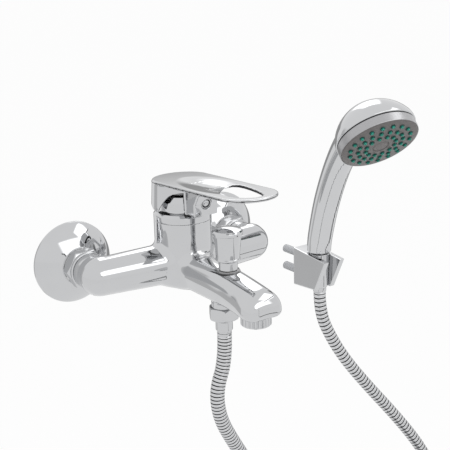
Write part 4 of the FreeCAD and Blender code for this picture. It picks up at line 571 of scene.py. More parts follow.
# Colour, metallic, roughness, grain and tint, and where it is bumpy the bump and its size
LOOKS = {
    "chrome": ((0.56, 0.565, 0.575), 1, 0.04, 0.015, 0.02, 0.02, 14),
    "plastic_chrome": ((0.58, 0.585, 0.595), 1, 0.05, 0.02, 0.02, 0.03, 18),
    "hose_chrome": ((0.60, 0.605, 0.615), 1, 0.12, 0.04, 0.05),
    # Painted shade for the hose's valleys
    "hose_valley_painted_shade": ((0.02, 0.02, 0.022), 1, 0.4, 0.1, 0.2),
    "plated_brass": ((0.42, 0.42, 0.42), 1, 0.2, 0.05, 0.04),
    "cast_inside": ((0.60, 0.60, 0.60), 0, 0.4, 0.1, 0.05, 0.03, 2),
    # Painted shade and a painted dark reflection for the lever's hole wall and rim line
    "painted_edge_shade": ((0.05, 0.05, 0.053), 1, 0.25, 0.05, 0.2),
    "brass": ((0.60, 0.44, 0.20), 1, 0.3, 0.08, 0.08),
    "steel": ((0.50, 0.50, 0.51), 1, 0.28, 0.08, 0.05),
    "dark_metal": ((0.30, 0.30, 0.305), 1, 0.15, 0.04, 0.1),
    "rubber": ((0.02, 0.02, 0.022), 0, 0.6, 0.1, 0.2, 0.05, 1),
    "cartridge_plastic": ((0.62, 0.62, 0.60), 0, 0.45, 0.08, 0.03),
    "dark_plastic": ((0.03, 0.03, 0.034), 0, 0.35, 0.08, 0.2),
    "plug_plastic": ((0.50, 0.51, 0.53), 0, 0.5, 0.1, 0.06),
    "ceramic": ((0.80, 0.78, 0.72), 0, 0.2, 0.05, 0.02),
    "satin": ((0.42, 0.42, 0.43), 1, 0.32, 0.06, 0.04),
    "face_plastic": ((0.175, 0.162, 0.160), 0.15, 0.38, 0.06, 0.05),
    "silicone": ((0.03, 0.36, 0.27), 0, 0.35, 0.08, 0.15),
    # Painted shade: the dark cup round each nozzle's tip
    "nozzle_cup_painted_shade": ((0.0, 0.07, 0.06), 0, 0.5, 0.08, 0.2),
}
MATERIALS = {name: surface(name, *look) for name, look in LOOKS.items()}
# The slots whose material has another name
SLOT_LOOKS = {"chromed_plastic": "plastic_chrome", "hose_metal": "hose_chrome", "seal_rubber": "rubber",
              "satin_ring": "satin", "nozzle_silicone": "silicone"}

for subpart in frame["record"]["subparts"]:
    cad, slot = frame["nodes"][subpart["node"]], subpart["material_slot"]
    look = "plated_brass" if subpart["node"].startswith("s_union") else SLOT_LOOKS.get(slot, slot)
    cad.data.materials.clear()
    cad.data.materials.append(MATERIALS[look])

# Hose

mixer_hose, mixer_line = ribbed_hose("hose_mixer_side", MIXER_ROUTE, MIXER_PITCH)
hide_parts("hose_run_mixer", "hose_run_lower", "hose_coil")
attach(mixer_hose, "root")
handset_hose, handset_line = ribbed_hose("hose_handset_side", HANDSET_ROUTE, HANDSET_PITCH)
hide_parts("hose_run_handset")
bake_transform(handset_hose)

# Casting

SPOUT_NOSE = span("body_casting", "y")[0] - 3
SPOUT_HALF_WIDTH, SPOUT_ROOT_HALF_WIDTH, SPOUT_CORNER = 18.0, 20.0, 10.0
SPOUT_FLOOR = -17.0
TOWER_FLOOR = span("body_casting", "z")[0]
ARM_Y, ARM_END_RADIUS, ARM_ROOT_RADIUS = -51.0, 15.6, 17.6
BOSS_FACE, BOSS_RADIUS = span("body_casting", "y")[1], 14.6
# Twice the radius of the spout's crown across, and the scale from height to distance there
CROWN, TOP_SCALE = 75.0, 0.95
# Distance out from the tower's axis and height of the spout's top line
SPOUT_TOP = ((0, 13.0), (30, 10.8), (57, 10.2), (75, 8.6), (101, 5.4), (120.5, 2.0))
# The spout's sides lean in below this half width at the floor, and stop leaning in at the nose
LEAN = 0.38
LEAN_INSET = ((0, 7.5), (75, 6.0), (92, 3.5), (105, -2.0))
SIDE_ROUND, TOP_ROUND, FLOOR_ROUND = 9, 14, 4
TOWER_ROUND, TOWER_TOP_ROUND, BOSS_ROUND = 12, 0.4, 1
BOSS_JOIN, ARM_JOIN, SPOUT_JOIN = 3, 5, 6
ARM_RISE = 1.5


def smooth_line(rows):
    """A function through the rows (place, value), smooth and without waves."""
    places, values = np.array(rows, float).T
    count, width = 241, 20
    fine = np.linspace(places[0], places[-1], count)
    line = np.interp(fine, places, values)
    ends = 2 * line[0] - line[width:0:-1], 2 * line[-1] - line[-2:-width - 2:-1]
    padded = np.concatenate((ends[0], line, ends[1]))
    bell = np.hanning(2 * width + 1)
    smooth = np.convolve(padded, bell / bell.sum(), "valid")
    return lambda at: np.interp(at, fine, smooth)


spout_top, lean_inset = smooth_line(SPOUT_TOP), smooth_line(LEAN_INSET)


def spout_distance(p):
    x, y, z = p.T
    out = TOWER_Y - y
    share = (y - SPOUT_NOSE) / (TOWER_Y - SPOUT_NOSE)
    half = SPOUT_HALF_WIDTH + (SPOUT_ROOT_HALF_WIDTH - SPOUT_HALF_WIDTH) * share
    plan = common(round_cut(np.abs(x) - half, SPOUT_NOSE - y, SPOUT_CORNER), y - TOWER_Y)
    top = (z - spout_top(out) + x * x / CROWN) * TOP_SCALE
    leaning = (plan + lean_inset(out) - LEAN * (z - SPOUT_FLOOR)) / math.hypot(1, LEAN)
    side = round_cut(plan, leaning, SIDE_ROUND)
    return round_cut(round_cut(side, top, TOP_ROUND), SPOUT_FLOOR - z, FLOOR_ROUND)


def casting_distance(p):
    x, y, z = p.T
    reach = np.hypot(x, y - TOWER_Y)
    tower = round_cut(reach - TOWER_RADIUS, TOWER_FLOOR - z, TOWER_ROUND)
    tower = round_cut(tower, z - TOWER_TOP, TOWER_TOP_ROUND)
    arms = np.full(x.shape, np.inf)
    for sign in (-1, 1):
        end = np.array((sign * INLET_X, ARM_Y, 0))
        arm = round_cone(p, end, (0, TOWER_Y, ARM_RISE), ARM_END_RADIUS, ARM_ROOT_RADIUS)
        ends = common(y - BOSS_FACE, ARM_Y - y)
        boss = round_cut(np.hypot(x - end[0], z) - BOSS_RADIUS, ends, BOSS_ROUND)
        arms = np.minimum(arms, fillet_union(arm, boss, BOSS_JOIN))
    return fillet_union(fillet_union(tower, arms, ARM_JOIN), spout_distance(p), SPOUT_JOIN)


GRID_HALF_WIDTH = INLET_X + 16
casting = field_surface("casting", casting_distance, (-GRID_HALF_WIDTH, SPOUT_NOSE - 1, TOWER_FLOOR - 1),
                        (GRID_HALF_WIDTH, BOSS_FACE + 1, TOWER_TOP + 1), COARSE)
finish_piece(casting, "chrome", "root", "body_casting")

# Lever

LEVER_TOP, LEVER_TILT, LEVER_THICKNESS = 72.4, math.radians(-2.9), 2.8
LEVER_BACK_RADIUS, LEVER_TIP_RADIUS, LEVER_TIP = 24.2, 23.5, -92.5
HOLE = ((-12.8, -74), (-14.6, -82), (-14.6, -91), (-12.9, -99), (-9, -105.3), (-4, -108.7),
        (1.5, -108.8), (6, -105), (9.6, -97), (11.9, -88), (13.7, -78), (14.8, -68), (14.6, -60.5),
        (12.2, -56), (8, -56), (2.5, -59.5), (-4, -64.5), (-9.5, -69.5))
# A long dish behind the finger hole: its middle, half width, half length, depth and the gap under it
DISH_MIDDLE, DISH_WIDTH, DISH_LENGTH, DISH_DEPTH, DISH_GAP = -50.0, 16.0, 37.0, 2.2, 0.55
SKIRT_TOP_RADIUS, SKIRT_RADIUS, SKIRT_WALL, SKIRT_BOTTOM = 24.1, 25.6, 1.6, 47.2
NECK_HALF_WIDTH = 11.3
NECK = ((-23.5, 47.6), (-36, 47.6), (-36.4, 57.5), (-42, 65.9), (-50, 72.4), (-23.5, 71.2))
ARCH = ((-2, 40), (-2.5, 47), (-6.5, 53.3), (-10.1, 58), (-12.9, 61.3), (-15.8, 63.2), (-19.8, 64.3),
        (-35, 64.3), (-35, 40))
SKIRT_BACK = ((-2.2, 38), (-2.2, 47), (8, 49.5), (32, 58), (32, 38))
PLUG_FACE, PLUG_HEIGHT, PLUG_SLOPE = -36.0, 57.5, math.radians(16)
PLUG_RADIUS, PLUG_THICKNESS = 4.6, 2.2
PLUG_WAY = np.array((0, -math.cos(PLUG_SLOPE), -math.sin(PLUG_SLOPE)))
HUB_RADIUS, HUB_BOTTOM = 7.8, 62.0
DRUM_RADIUS, DRUM_BOTTOM, DRUM_BACK = 15.6, 61.0, -3.5
# Radii of the lever's rounded edges, and of the fillets between its parts
PLATE_ROUND, DISH_ROUND, NECK_ROUND, SKIRT_ROUND, RECESS_ROUND = 1.1, 1.5, 1.5, 0.6, 0.4
NECK_FILLET, PLATE_FILLET = 1.0, 0.8
ARCH_GROWTH, PLUG_GAP = 0.5, 0.1


def lever_frame(y, z):
    """Places along and above the lever's tilted top, from places about the tower's axis."""
    c, s = math.cos(LEVER_TILT), math.sin(LEVER_TILT)
    return y * c + (z - LEVER_TOP) * s, (z - LEVER_TOP) * c - y * s


def lever_distance(p):
    q = p - (0, TOWER_Y, 0)
    x, y, z = q.T
    flat_y, flat_z = lever_frame(y, z)
    flat = np.stack((x, flat_y), 1)
    plan = round_cone(flat, (0, 0), (0, LEVER_TIP), LEVER_BACK_RADIUS, LEVER_TIP_RADIUS)
    half = LEVER_THICKNESS / 2
    plate = round_cut(plan, np.abs(flat_z + half) - half, PLATE_ROUND)
    hole = polygon(x, flat_y, HOLE)
    curve = (DISH_WIDTH ** 2 + DISH_DEPTH ** 2) / (2 * DISH_DEPTH)
    long_way = (flat_y - DISH_MIDDLE) * DISH_WIDTH / DISH_LENGTH
    dish = np.sqrt(x * x + long_way ** 2 + (flat_z - curve + DISH_DEPTH) ** 2) - curve
    plate = round_cut(plate, -hole, PLATE_ROUND)
    plate = round_cut(plate, -dish, DISH_ROUND)
    below = flat_z + half
    reach = np.hypot(x, y)
    lean = (SKIRT_RADIUS - SKIRT_TOP_RADIUS) / (LEVER_TOP - SKIRT_BOTTOM)
    outer = SKIRT_RADIUS + (SKIRT_BOTTOM - z) * lean
    skirt = common(reach - outer, outer - SKIRT_WALL - reach, below, SKIRT_BOTTOM - z)
    arch = common(polygon(y, z, ARCH) - ARCH_GROWTH, NECK_HALF_WIDTH - np.abs(x))
    back = polygon(y, z, SKIRT_BACK)
    skirt = round_cut(skirt, -np.minimum(arch, back), SKIRT_ROUND)
    neck = round_cut(polygon(y, z, NECK), np.abs(x) - NECK_HALF_WIDTH, NECK_ROUND)
    hub = common(reach - HUB_RADIUS, HUB_BOTTOM - z, below)
    drum = common(reach - DRUM_RADIUS, DRUM_BOTTOM - z, below, y - DRUM_BACK)
    under = fillet_union(np.minimum(skirt, np.minimum(hub, drum)), neck, NECK_FILLET)
    under = common(under, DISH_GAP - dish)
    whole = fillet_union(plate, under, PLATE_FILLET)
    face = q - (0, PLUG_FACE, PLUG_HEIGHT)
    deep = -(face @ PLUG_WAY)
    aside = np.sqrt(np.maximum((face * face).sum(1) - deep * deep, 0))
    recess = common(aside - PLUG_RADIUS - PLUG_GAP, deep - PLUG_THICKNESS)
    return round_cut(whole, -recess, RECESS_ROUND)


low, high = corners_of("lever")
lever = field_surface("lever_shell", lever_distance, (low[0], low[1], SKIRT_BOTTOM - 1), high, FINE)
finish_piece(lever, "chrome", "lever", "lever")


# The hole's wall and a line round the rim are painted dark: painted shade on the hole's wall and a
# painted dark reflection along the rim. The inside is as cast
AT_HOLE, HOLE_WALL_DEPTH = 0.4, -0.6
AT_RIM, RIM_LINE_DEPTH, RIM_LINE_HALF_WIDTH = 0.6, -1.5, 0.3
INSIDE_RADIUS, INSIDE_DEPTH = SKIRT_TOP_RADIUS - 0.9, 0.3 - LEVER_THICKNESS
middles = centres_of(lever) - (0, TOWER_Y, 0)
depth = lever_frame(middles[:, 1], middles[:, 2])[1]
plan = round_cone(middles[:, :2], (0, 0), (0, LEVER_TIP), LEVER_BACK_RADIUS, LEVER_TIP_RADIUS)
hole = polygon(middles[:, 0], middles[:, 1], HOLE)
at_hole = (np.abs(hole) < AT_HOLE) & (depth < HOLE_WALL_DEPTH)
at_rim = (np.abs(plan) < AT_RIM) & (np.abs(depth - RIM_LINE_DEPTH) < RIM_LINE_HALF_WIDTH)
inside = (np.hypot(middles[:, 0], middles[:, 1]) < INSIDE_RADIUS) & (depth < INSIDE_DEPTH)
# Hole wall and rim line get the painted shade and dark reflection, the inside the cast look
more_materials(lever, np.where(inside, 2, at_hole | at_rim), "painted_edge_shade", "cast_inside")

# Lever plug: a bright button and rim, and a dark groove between, whose dark plastic is partly the plug's
# own and partly painted shade in the groove

GROOVE_INNER, GROOVE_OUTER = 2.9, 3.8
plug_profile = [(0, -PLUG_THICKNESS), (PLUG_RADIUS, -PLUG_THICKNESS), (PLUG_RADIUS, 0.5, 0.45),
                (3.7, 0.5, 0.4), (3.3, -0.5, 0.4), (2.6, 0.4, 1.5), (0, 0.9)]
plug_place = np.array((0, TOWER_Y + PLUG_FACE, PLUG_HEIGHT))
plug = turned("lever_plug_dome", plug_profile, plug_place, PLUG_WAY, 64)
finish_piece(plug, "dark_plastic", "lever", "lever_plug")
from_plug = centres_of(plug) - plug_place
aside = np.linalg.norm(from_plug - np.outer(from_plug @ PLUG_WAY, PLUG_WAY), axis=1)
# The groove keeps the dark plastic, partly painted shade; the button and rim are chrome
more_materials(plug, (aside < GROOVE_INNER) | (aside > GROOVE_OUTER), "chrome")

# Turned pieces of the mixer

FLANGE_RADIUS, FLANGE_NECK, FLANGE_BORE, FLANGE_DEPTH = 35.0, 16.2, 15.05, 17.0
FLANGE_BULGE, FLANGE_STEPS = 1.14, 18
OUT = (0, -1, 0)
flange_profile = [(33.9, 0.05), (FLANGE_RADIUS, 0.05, 0.4), (FLANGE_RADIUS, 2.4, 1.1)]
flange_profile += arc_corners((34.6, 3.0), (FLANGE_NECK, 16), FLANGE_BULGE, FLANGE_STEPS)
flange_profile += [(FLANGE_NECK, 16.1, 0.3), (FLANGE_NECK, FLANGE_DEPTH, 0.4),
                   (FLANGE_BORE, FLANGE_DEPTH, 0.3), (FLANGE_BORE, 15.6)]
flange_profile += arc_corners((FLANGE_BORE, 15.6), (33.9, 1.4), -FLANGE_BULGE, FLANGE_STEPS)
for side, sign in (("left", -1), ("right", 1)):
    flange = turned(f"flange_cup_{side}", flange_profile, (sign * INLET_X, 0, 0), OUT, 128)
    finish_piece(flange, "chrome", "root", f"flange_{side}")

cover_profile = [(22.1, TOWER_TOP), (TOWER_RADIUS - 0.1, TOWER_TOP, 0.4), (TOWER_RADIUS, 39),
                 (TOWER_RADIUS, 43.2, 1.0), (22.0, 45.6, 1.5), (19, 46.4, 1.6), (19, 54.5, 3),
                 (17.15, 60.5, 0.2), (17.1, 43.2), (22.1, 43.2)]
cover = turned("cover_bell", cover_profile, (0, TOWER_Y, 0), sides=128)
finish_piece(cover, "chrome", "root", "dome_cover")

knob_profile = [(2.5, 10.2), (7.6, 10.2, 0.3), (7.6, 17.0, 0.8), (8.6, 17.8, 0.4), (9.9, 18.2, 0.4),
                (9.9, 19.4, 0.4), (9.3, 19.9, 0.3), (9.4, 20.6), (11.0, 37.6, 0.4), (10.9, 38.4, 0.2),
                (12.0, 38.8, 0.4), (12.3, 40.2, 0.4), (12.3, 41.2, 1.3), (11.2, 42.7, 0.8),
                (9.9, 43.0, 0.2), (6.6, 43.9), (3.3, 44.4), (0, 44.6), (0, 32), (2.5, 32)]
finish_piece(turned("knob_grip", knob_profile, (0, KNOB_Y, 0)), "chrome", "diverter", "diverter_knob")

# Diverter spring, a copy of the part's own spring

cad_spring = frame["nodes"]["diverter_spring"]
spring = new_object("diverter_coil", cad_spring.data.copy())
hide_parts("diverter_spring")
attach(spring, "root")
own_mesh(spring)

# The bush has a dark metal ring above its seal
METAL_FROM = 8.8
bush_profile = [(5.3, 1), (7.2, 1), (7.2, 6.5), (9.7, 6.5, 0.2), (9.7, 8.9, 0.5), (9.1, 9.0, 0.1),
                (9.1, 10.0, 0.4), (8.2, 10.2, 0.3), (8.1, 9.2, 0.1), (2.7, 9.2), (2.7, 5.8), (5.3, 5.8)]
bush = turned("bush_seat_ring", bush_profile, (0, KNOB_Y, 0))
finish_piece(bush, "dark_metal", "root", "diverter_bush", "rubber")
more_materials(bush, centres_of(bush)[:, 2] > METAL_FROM, "dark_metal")

nipple_profile = [(5.5, -33), (9.9, -33, 0.4), (9.9, -19.2, 0.3), (9.4, -18.6, 0.3), (9.4, -17.6, 0.3),
                  (9.9, -17.1, 0.2), (9.9, -17), (8.9, -17), (8.9, -12.5), (5.5, -12.5)]
finish_piece(turned("outlet_nipple", nipple_profile, (0, OUTLET_Y, 0)), "chrome", "root",
             "shower_outlet_nipple")

ferrule_profile = [(4.2, -48), (5.9, -48, 0.3), (6.0, -46.0, 0.3), (5.3, -45.8, 0.1), (5.3, -45.4, 0.1),
                   (6.0, -45.2, 0.3), (6.0, -43.6, 0.2), (6.6, -43.5, 0.3), (7.0, -42.8, 0.3),
                   (7.0, -35.4, 0.4), (6.6, -35.0, 0.3), (6.6, -34.6, 0.3), (7.0, -34.2, 0.3),
                   (7.0, -33, 0.2), (4.2, -33)]
ferrule = turned("hose_ferrule_mixer_cup", ferrule_profile, (0, OUTLET_Y, 0))
finish_piece(ferrule, "chrome", "root", "hose_ferrule_mixer")

# Hexagonal nuts

OUTWARD, UPWARD = np.array(((1, 0, 0), (0, 0, 1), (0, -1, 0)), float), np.eye(3)
NUT_ROUND, CHAMFER_ROUND, COLLAR_ROUND = 0.3, 0.5, 0.9


def nut_field(place, turn, flats, length, chamfer, bore, collar=None):
    """A hexagonal nut that starts at its place and runs along its own Z, whose turn is given. The
    bore is spans of (radius, start, end), and a collar its radius and its length past the hexagon."""

    def distance(p):
        x, y, z = ((p - place) @ turn.T).T
        slant = x * math.cos(math.pi / 6)
        flat = common(np.abs(y), np.abs(slant + y / 2), np.abs(slant - y / 2))
        reach = np.hypot(x, y)
        ends = np.abs(z - length / 2) - length / 2
        nut = round_cut(flat - flats / 2, ends, NUT_ROUND)
        slope = chamfer / (flats / math.sqrt(3) - flats / 2)
        cone = (ends + (reach - flats / 2) * slope) / math.hypot(1, slope)
        nut = round_cut(nut, cone, CHAMFER_ROUND)
        if collar:
            radius, extra = collar
            past = np.abs(z - length - extra / 2) - extra / 2
            nut = np.minimum(nut, round_cut(reach - radius, past, COLLAR_ROUND))
        for radius, start, end in bore:
            nut = common(nut, -common(reach - radius, start - z, z - end))
        return nut

    return distance


UNION_NUT_START, UNION_NUT_LENGTH, UNION_NUT_FLATS = 17.5, 10.5, 30.0
UNION_COLLAR = (15.4, 3.5)
for side, sign in (("left", -1), ("right", 1)):
    field = nut_field((sign * INLET_X, -UNION_NUT_START, 0), OUTWARD, UNION_NUT_FLATS, UNION_NUT_LENGTH,
                      1.5, [(13.3, -1, 12), (9.8, 11, 15)], UNION_COLLAR)
    nut = field_surface(f"union_nut_hex_{side}", field, *corners_of(f"union_nut_{side}"), FINE)
    finish_piece(nut, "chrome", "root", f"union_nut_{side}")

HOSE_NUT_FLATS, HOSE_NUT_LENGTH, HOSE_NUT_FOOT = 22.5, 10.4, -33.6
field = nut_field((0, OUTLET_Y, HOSE_NUT_FOOT), UPWARD, HOSE_NUT_FLATS, HOSE_NUT_LENGTH, 1.4,
                  [(10.1, 2, 16), (6.7, -1, 3)])
outlet_nut = field_surface("hose_nut_hex", field, *corners_of("hose_nut_mixer"), FINE)
finish_piece(outlet_nut, "chrome", "root", "hose_nut_mixer")

# Bracket

BRACKET_SIDE = ((0, -36), (-48, -40.6), (-33, -71.8), (0, -74.2))
BRACKET_HALF_WIDTH, SLOT_HALF_WIDTH, BRACKET_ROUND, HOLLOW_ROUND = 12.4, 6.9, 0.9, 0.6
CONE_TOP, CONE_BOTTOM, CONE_TOP_RADIUS, CONE_BOTTOM_RADIUS = -37.5, -72.0, 10.1, 7.9
SCREW_HEIGHTS, SCREW_SEAT, SCREW_RECESS = (-46, -64), -8.0, 4.2


def bracket_distance(p):
    x, y, z = (p - (STAND_X, 0, 0)).T
    block = round_cut(polygon(y, z, BRACKET_SIDE), np.abs(x) - BRACKET_HALF_WIDTH, BRACKET_ROUND)
    slope = (CONE_TOP_RADIUS - CONE_BOTTOM_RADIUS) / (CONE_TOP - CONE_BOTTOM)
    radius = CONE_BOTTOM_RADIUS + (z - CONE_BOTTOM) * slope
    socket = np.hypot(x, y - STAND_Y) - radius
    slot = common(np.abs(x) - SLOT_HALF_WIDTH, y - STAND_Y)
    hollow = np.minimum(socket, slot)
    for height in SCREW_HEIGHTS:
        recess = common(np.hypot(x, z - height) - SCREW_RECESS, y - SCREW_SEAT, STAND_Y - y)
        hollow = np.minimum(hollow, recess)
    return round_cut(block, -hollow, HOLLOW_ROUND)


bracket = field_surface("bracket", bracket_distance, *corners_of("bracket_body"), FINE)
finish_piece(bracket, "chromed_plastic", "root", "bracket_body")

# Hand shower. Its own forward direction is -Y before it is swung about the bracket's axis

SWING_ANGLE, HEAD_PITCH = -11.0, 45.9
HEAD_FORWARD, HEAD_HEIGHT = 104.9, 89.6
# Forward place, height and radius along the handle
HANDLE_LINE = ((1.5, -36, 11.6), (-1.5, -19, 11.9), (-15, 19, 12.3), (-35.5, 57, 12.6), (-58, 84, 13.5),
               (-80.9, 98.6, 13.5))
DOME_EDGE, DOME_CORNER, DOME_DEPTH, DOME_START, DOME_ROUND = 36.0, 18.5, 29.6, -8.0, 1.0
# Within this of the head's axis, nothing of the handle stands in front of the dome
HEAD_REACH = 50.0
HANDLE_JOIN, HANDLE_ROUND, HANDLE_STEPS = 8, 0.8, 6
SWING = Matrix.Translation((STAND_X, STAND_Y, 0)) @ Matrix.Rotation(math.radians(SWING_ANGLE), 4, "Z")
HEAD_IN_HAND = (Matrix.Translation((0, -HEAD_FORWARD, HEAD_HEIGHT))
                @ Matrix.Rotation(math.radians(90 + HEAD_PITCH), 4, "X"))
HEAD = SWING @ HEAD_IN_HAND


def into(matrix, p):
    """Points in the own frame of a placement."""
    back = np.array(matrix.inverted())
    return p @ back[:3, :3].T + back[:3, 3]


def handle_places():
    """Places and radii along the handle, on one smooth line."""
    rows = np.array(HANDLE_LINE)
    ends = np.vstack((2 * rows[0] - rows[1], rows, 2 * rows[-1] - rows[-2]))
    places = []
    for k in range(1, len(ends) - 2):
        a, b, c, d = ends[k - 1:k + 3]
        for t in np.linspace(0, 1, HANDLE_STEPS, endpoint=False):
            places.append(0.5 * (2 * b + (c - a) * t + (2 * a - 5 * b + 4 * c - d) * t ** 2
                                 + (3 * b - a - 3 * c + d) * t ** 3))
    places.append(rows[-1])
    return places


HANDLE_PLACES = handle_places()


def dome_distance(p):
    r, z = np.hypot(p[:, 0], p[:, 1]), p[:, 2]
    across = DOME_EDGE - DOME_CORNER
    inner = DOME_DEPTH - DOME_CORNER
    deep = (across ** 2 - inner ** 2) / (2 * inner)
    crown = DOME_DEPTH + deep
    centre = DOME_START + deep
    at_crown = np.hypot(r, z - centre) - crown
    at_corner = np.hypot(r - across, z - DOME_START) - DOME_CORNER
    in_crown = across * (centre - z) > r * deep
    shell = np.where(z > DOME_START, r - DOME_EDGE, np.where(in_crown, at_crown, at_corner))
    return round_cut(shell, z - DOME_START, DOME_ROUND)


def handset_distance(p):
    q = into(SWING, p)
    handle = np.full(len(p), np.inf)
    for a, b in zip(HANDLE_PLACES, HANDLE_PLACES[1:]):
        handle = np.minimum(handle, round_cone(q, (0, a[0], a[1]), (0, b[0], b[1]), a[2], b[2]))
    handle = round_cut(handle, HANDLE_LINE[0][1] - q[:, 2], HANDLE_ROUND)
    front = into(HEAD_IN_HAND, q)
    dome = dome_distance(front)
    near = np.hypot(front[:, 0], front[:, 1]) < HEAD_REACH
    in_front = np.where(near, front[:, 2] - DOME_START, -np.inf)
    return fillet_union(common(handle, in_front), dome, HANDLE_JOIN)


low, high = corners_of("handset_body")
handset = field_surface("handset_shell", handset_distance,
                        (low[0] - 1, low[1] - 1, HANDLE_LINE[0][1] - 1), [h + 1 for h in high], COARSE)
finish_piece(handset, "chromed_plastic", "handset", "handset_body")

# Head: ring, seal, face and nozzles, on the head's own axis

RING_RADIUS, RING_BORE = 35.0, 30.6
FACE_RADIUS, FACE_CROWN, FACE_TOP, FACE_HOLE, FACE_BACK = 34.3, 3.0, 3.6, 7.25, -1.2
# Radius and count of each ring of nozzles, and its turn as a share of a step
NOZZLE_RINGS = ((27.0, 18, 0.5), (20.0, 16, 0), (13.5, 12, 0))


def on_head(piece, slot, node, look=None):
    """Places a piece made about the origin on the head, and finishes it."""
    piece.matrix_world = Matrix.Scale(MM, 4) @ HEAD @ Matrix.Scale(1 / MM, 4)
    return finish_piece(piece, slot, "handset", node, look)


def turned_on_head(name, corners, slot, node, sides=128):
    on_head(turned(name, corners, (0, 0, 0), sides=sides), slot, node)


ring_profile = [(RING_BORE, -11), (33.4, -11), (33.4, -7.6), (RING_RADIUS, -7.2, 0.4),
                (RING_RADIUS, 0.2, 0.3), (34.9, 0.5, 0.1), (34.5, 0.5, 0.1), (34.5, -1.3),
                (RING_BORE, -1.3)]
turned_on_head("head_ring", ring_profile, "satin_ring", "handset_ring")
seal_profile = [(33.2, -8.4), (34.5, -8.4, 0.3), (34.5, -7.2, 0.3), (33.2, -7.2)]
turned_on_head("head_seal_band", seal_profile, "seal_rubber", "head_o_ring")


def face_height(r):
    return FACE_TOP - FACE_CROWN * (r / FACE_RADIUS) ** 2


face_profile = [(0, FACE_BACK), (33.6, FACE_BACK), (FACE_RADIUS, FACE_BACK, 0.3)]
face_profile += [(r, face_height(r)) for r in FACE_RADIUS * np.linspace(1, 0.24, 24)]
hole_top = face_height(FACE_HOLE)
face_profile += [(FACE_HOLE, hole_top), (FACE_HOLE, hole_top - 0.6), (0, hole_top - 0.6)]
turned_on_head("head_face", face_profile, "face_plastic", "face_plate")
cap_profile = [(0, 1.9), (6.9, 1.9), (6.95, 3.05, 0.3), (6.0, 3.4, 0.4), (0, 3.7)]
turned_on_head("head_cap", cap_profile, "face_plastic", "face_cap", 64)


NOZZLE_CUP = ((0, -0.6), (2.3, -0.6), (2.35, 0.36, 0.25), (1.95, 0.34, 0.2), (1.7, -0.1, 0.2), (0, -0.1))
NOZZLE_TIP = ((0, -0.4), (1.55, -0.4), (1.3, 1.8, 0.5), (0.5, 1.85, 0.1), (0.45, 1.3, 0.1), (0, 1.3))
NOZZLE_SIDES, LEAST_RADIUS = 20, 0.02


def nozzle_field():
    """A low cup, painted dark as painted shade round the tip, and a tip for each nozzle, with the
    material of each face.
    """
    profiles = rounded_profile(NOZZLE_CUP), rounded_profile(NOZZLE_TIP)
    turns = np.arange(NOZZLE_SIDES) * math.tau / NOZZLE_SIDES
    points, normals, faces, shades = [], [], [], []
    for ring_radius, count, shift in NOZZLE_RINGS:
        for k in range(count):
            angle = (k + shift) * math.tau / count
            out = np.array((math.cos(angle), math.sin(angle), 0))
            foot = out * ring_radius + (0, 0, face_height(ring_radius))
            lean = -2 * FACE_CROWN * ring_radius / FACE_RADIUS ** 2
            up = (0, 0, 1) - out * lean
            up /= np.linalg.norm(up)
            one = np.cross(up, (0, 1, 0))
            one /= np.linalg.norm(one)
            spokes = np.outer(np.cos(turns), one) + np.outer(np.sin(turns), np.cross(up, one))
            for shade, profile in enumerate(profiles):
                start, rows = len(points), len(profile)
                for r, h, nr, nh in profile:
                    points.extend(foot + spokes * max(r, LEAST_RADIUS) + up * h)
                    normals.extend(spokes * nr + up * nh)
                faces += [[start + i for i in face] for face in tube_faces(rows, NOZZLE_SIDES)]
                shades += [shade] * ((rows - 1) * NOZZLE_SIDES + 2)
    return points, normals, faces, shades


# The cups take the painted shade and the tips the silicone
points, normals, faces, shades = nozzle_field()
nozzles = on_head(add_mesh("head_nozzles", points, faces, normals), "nozzle_silicone", "nozzle_mat",
                  "nozzle_cup_painted_shade")
more_materials(nozzles, shades, "silicone")

# Hose end in the bracket

cone_profile = [(6.5, -72), (7.4, -72, 0.5), (7.75, -70.5, 0.3), (9.7, -39.2, 0.4), (9.8, -37.5, 0.4),
                (7.35, -37.5, 0.2), (7.35, -53.5), (6.5, -53.5)]
cone = turned("cone_nut", cone_profile, (STAND_X, STAND_Y, 0))
finish_piece(cone, "chromed_plastic", "hose_end", "hose_cone_nut")
sleeve_profile = [(4.2, -77), (6.1, -77, 0.4), (6.4, -76.2, 0.3), (6.4, -53.5), (7.2, -53.5),
                  (7.2, -51.5), (4.2, -51.5)]
sleeve = turned("hand_sleeve", sleeve_profile, (STAND_X, STAND_Y, 0))
finish_piece(sleeve, "chrome", "hose_end", "hose_ferrule_handset")

# Studio: a white floor and world, soft lamps, and cards that only the chrome sees

WHITE = (1, 1, 1, 1)


def maths(nodes, links, operation, *values):
    """The output of a maths node, from other outputs or numbers."""
    node = nodes.new("ShaderNodeMath")
    node.operation = operation
    for socket, value in zip(node.inputs, values):
        if isinstance(value, float):
            socket.default_value = value
        else:
            links.new(value, socket)
    return node.outputs[0]


def mix_into(nodes, links, output, share, first, second):
    """Sends a mix of two shaders, by a share of the second, to an output node."""
    mix = nodes.new("ShaderNodeMixShader")
    for socket, source in zip(mix.inputs, (share, first, second)):
        links.new(source, socket)
    links.new(mix.outputs[0], nodes[output].inputs["Surface"])


def shows_background(nodes, links):
    """1 for camera, glossy and transmission rays."""
    rays = nodes.new("ShaderNodeLightPath").outputs
    either = maths(nodes, links, "MAXIMUM", rays["Is Camera Ray"], rays["Is Glossy Ray"])
    return maths(nodes, links, "MAXIMUM", either, rays["Is Transmission Ray"])


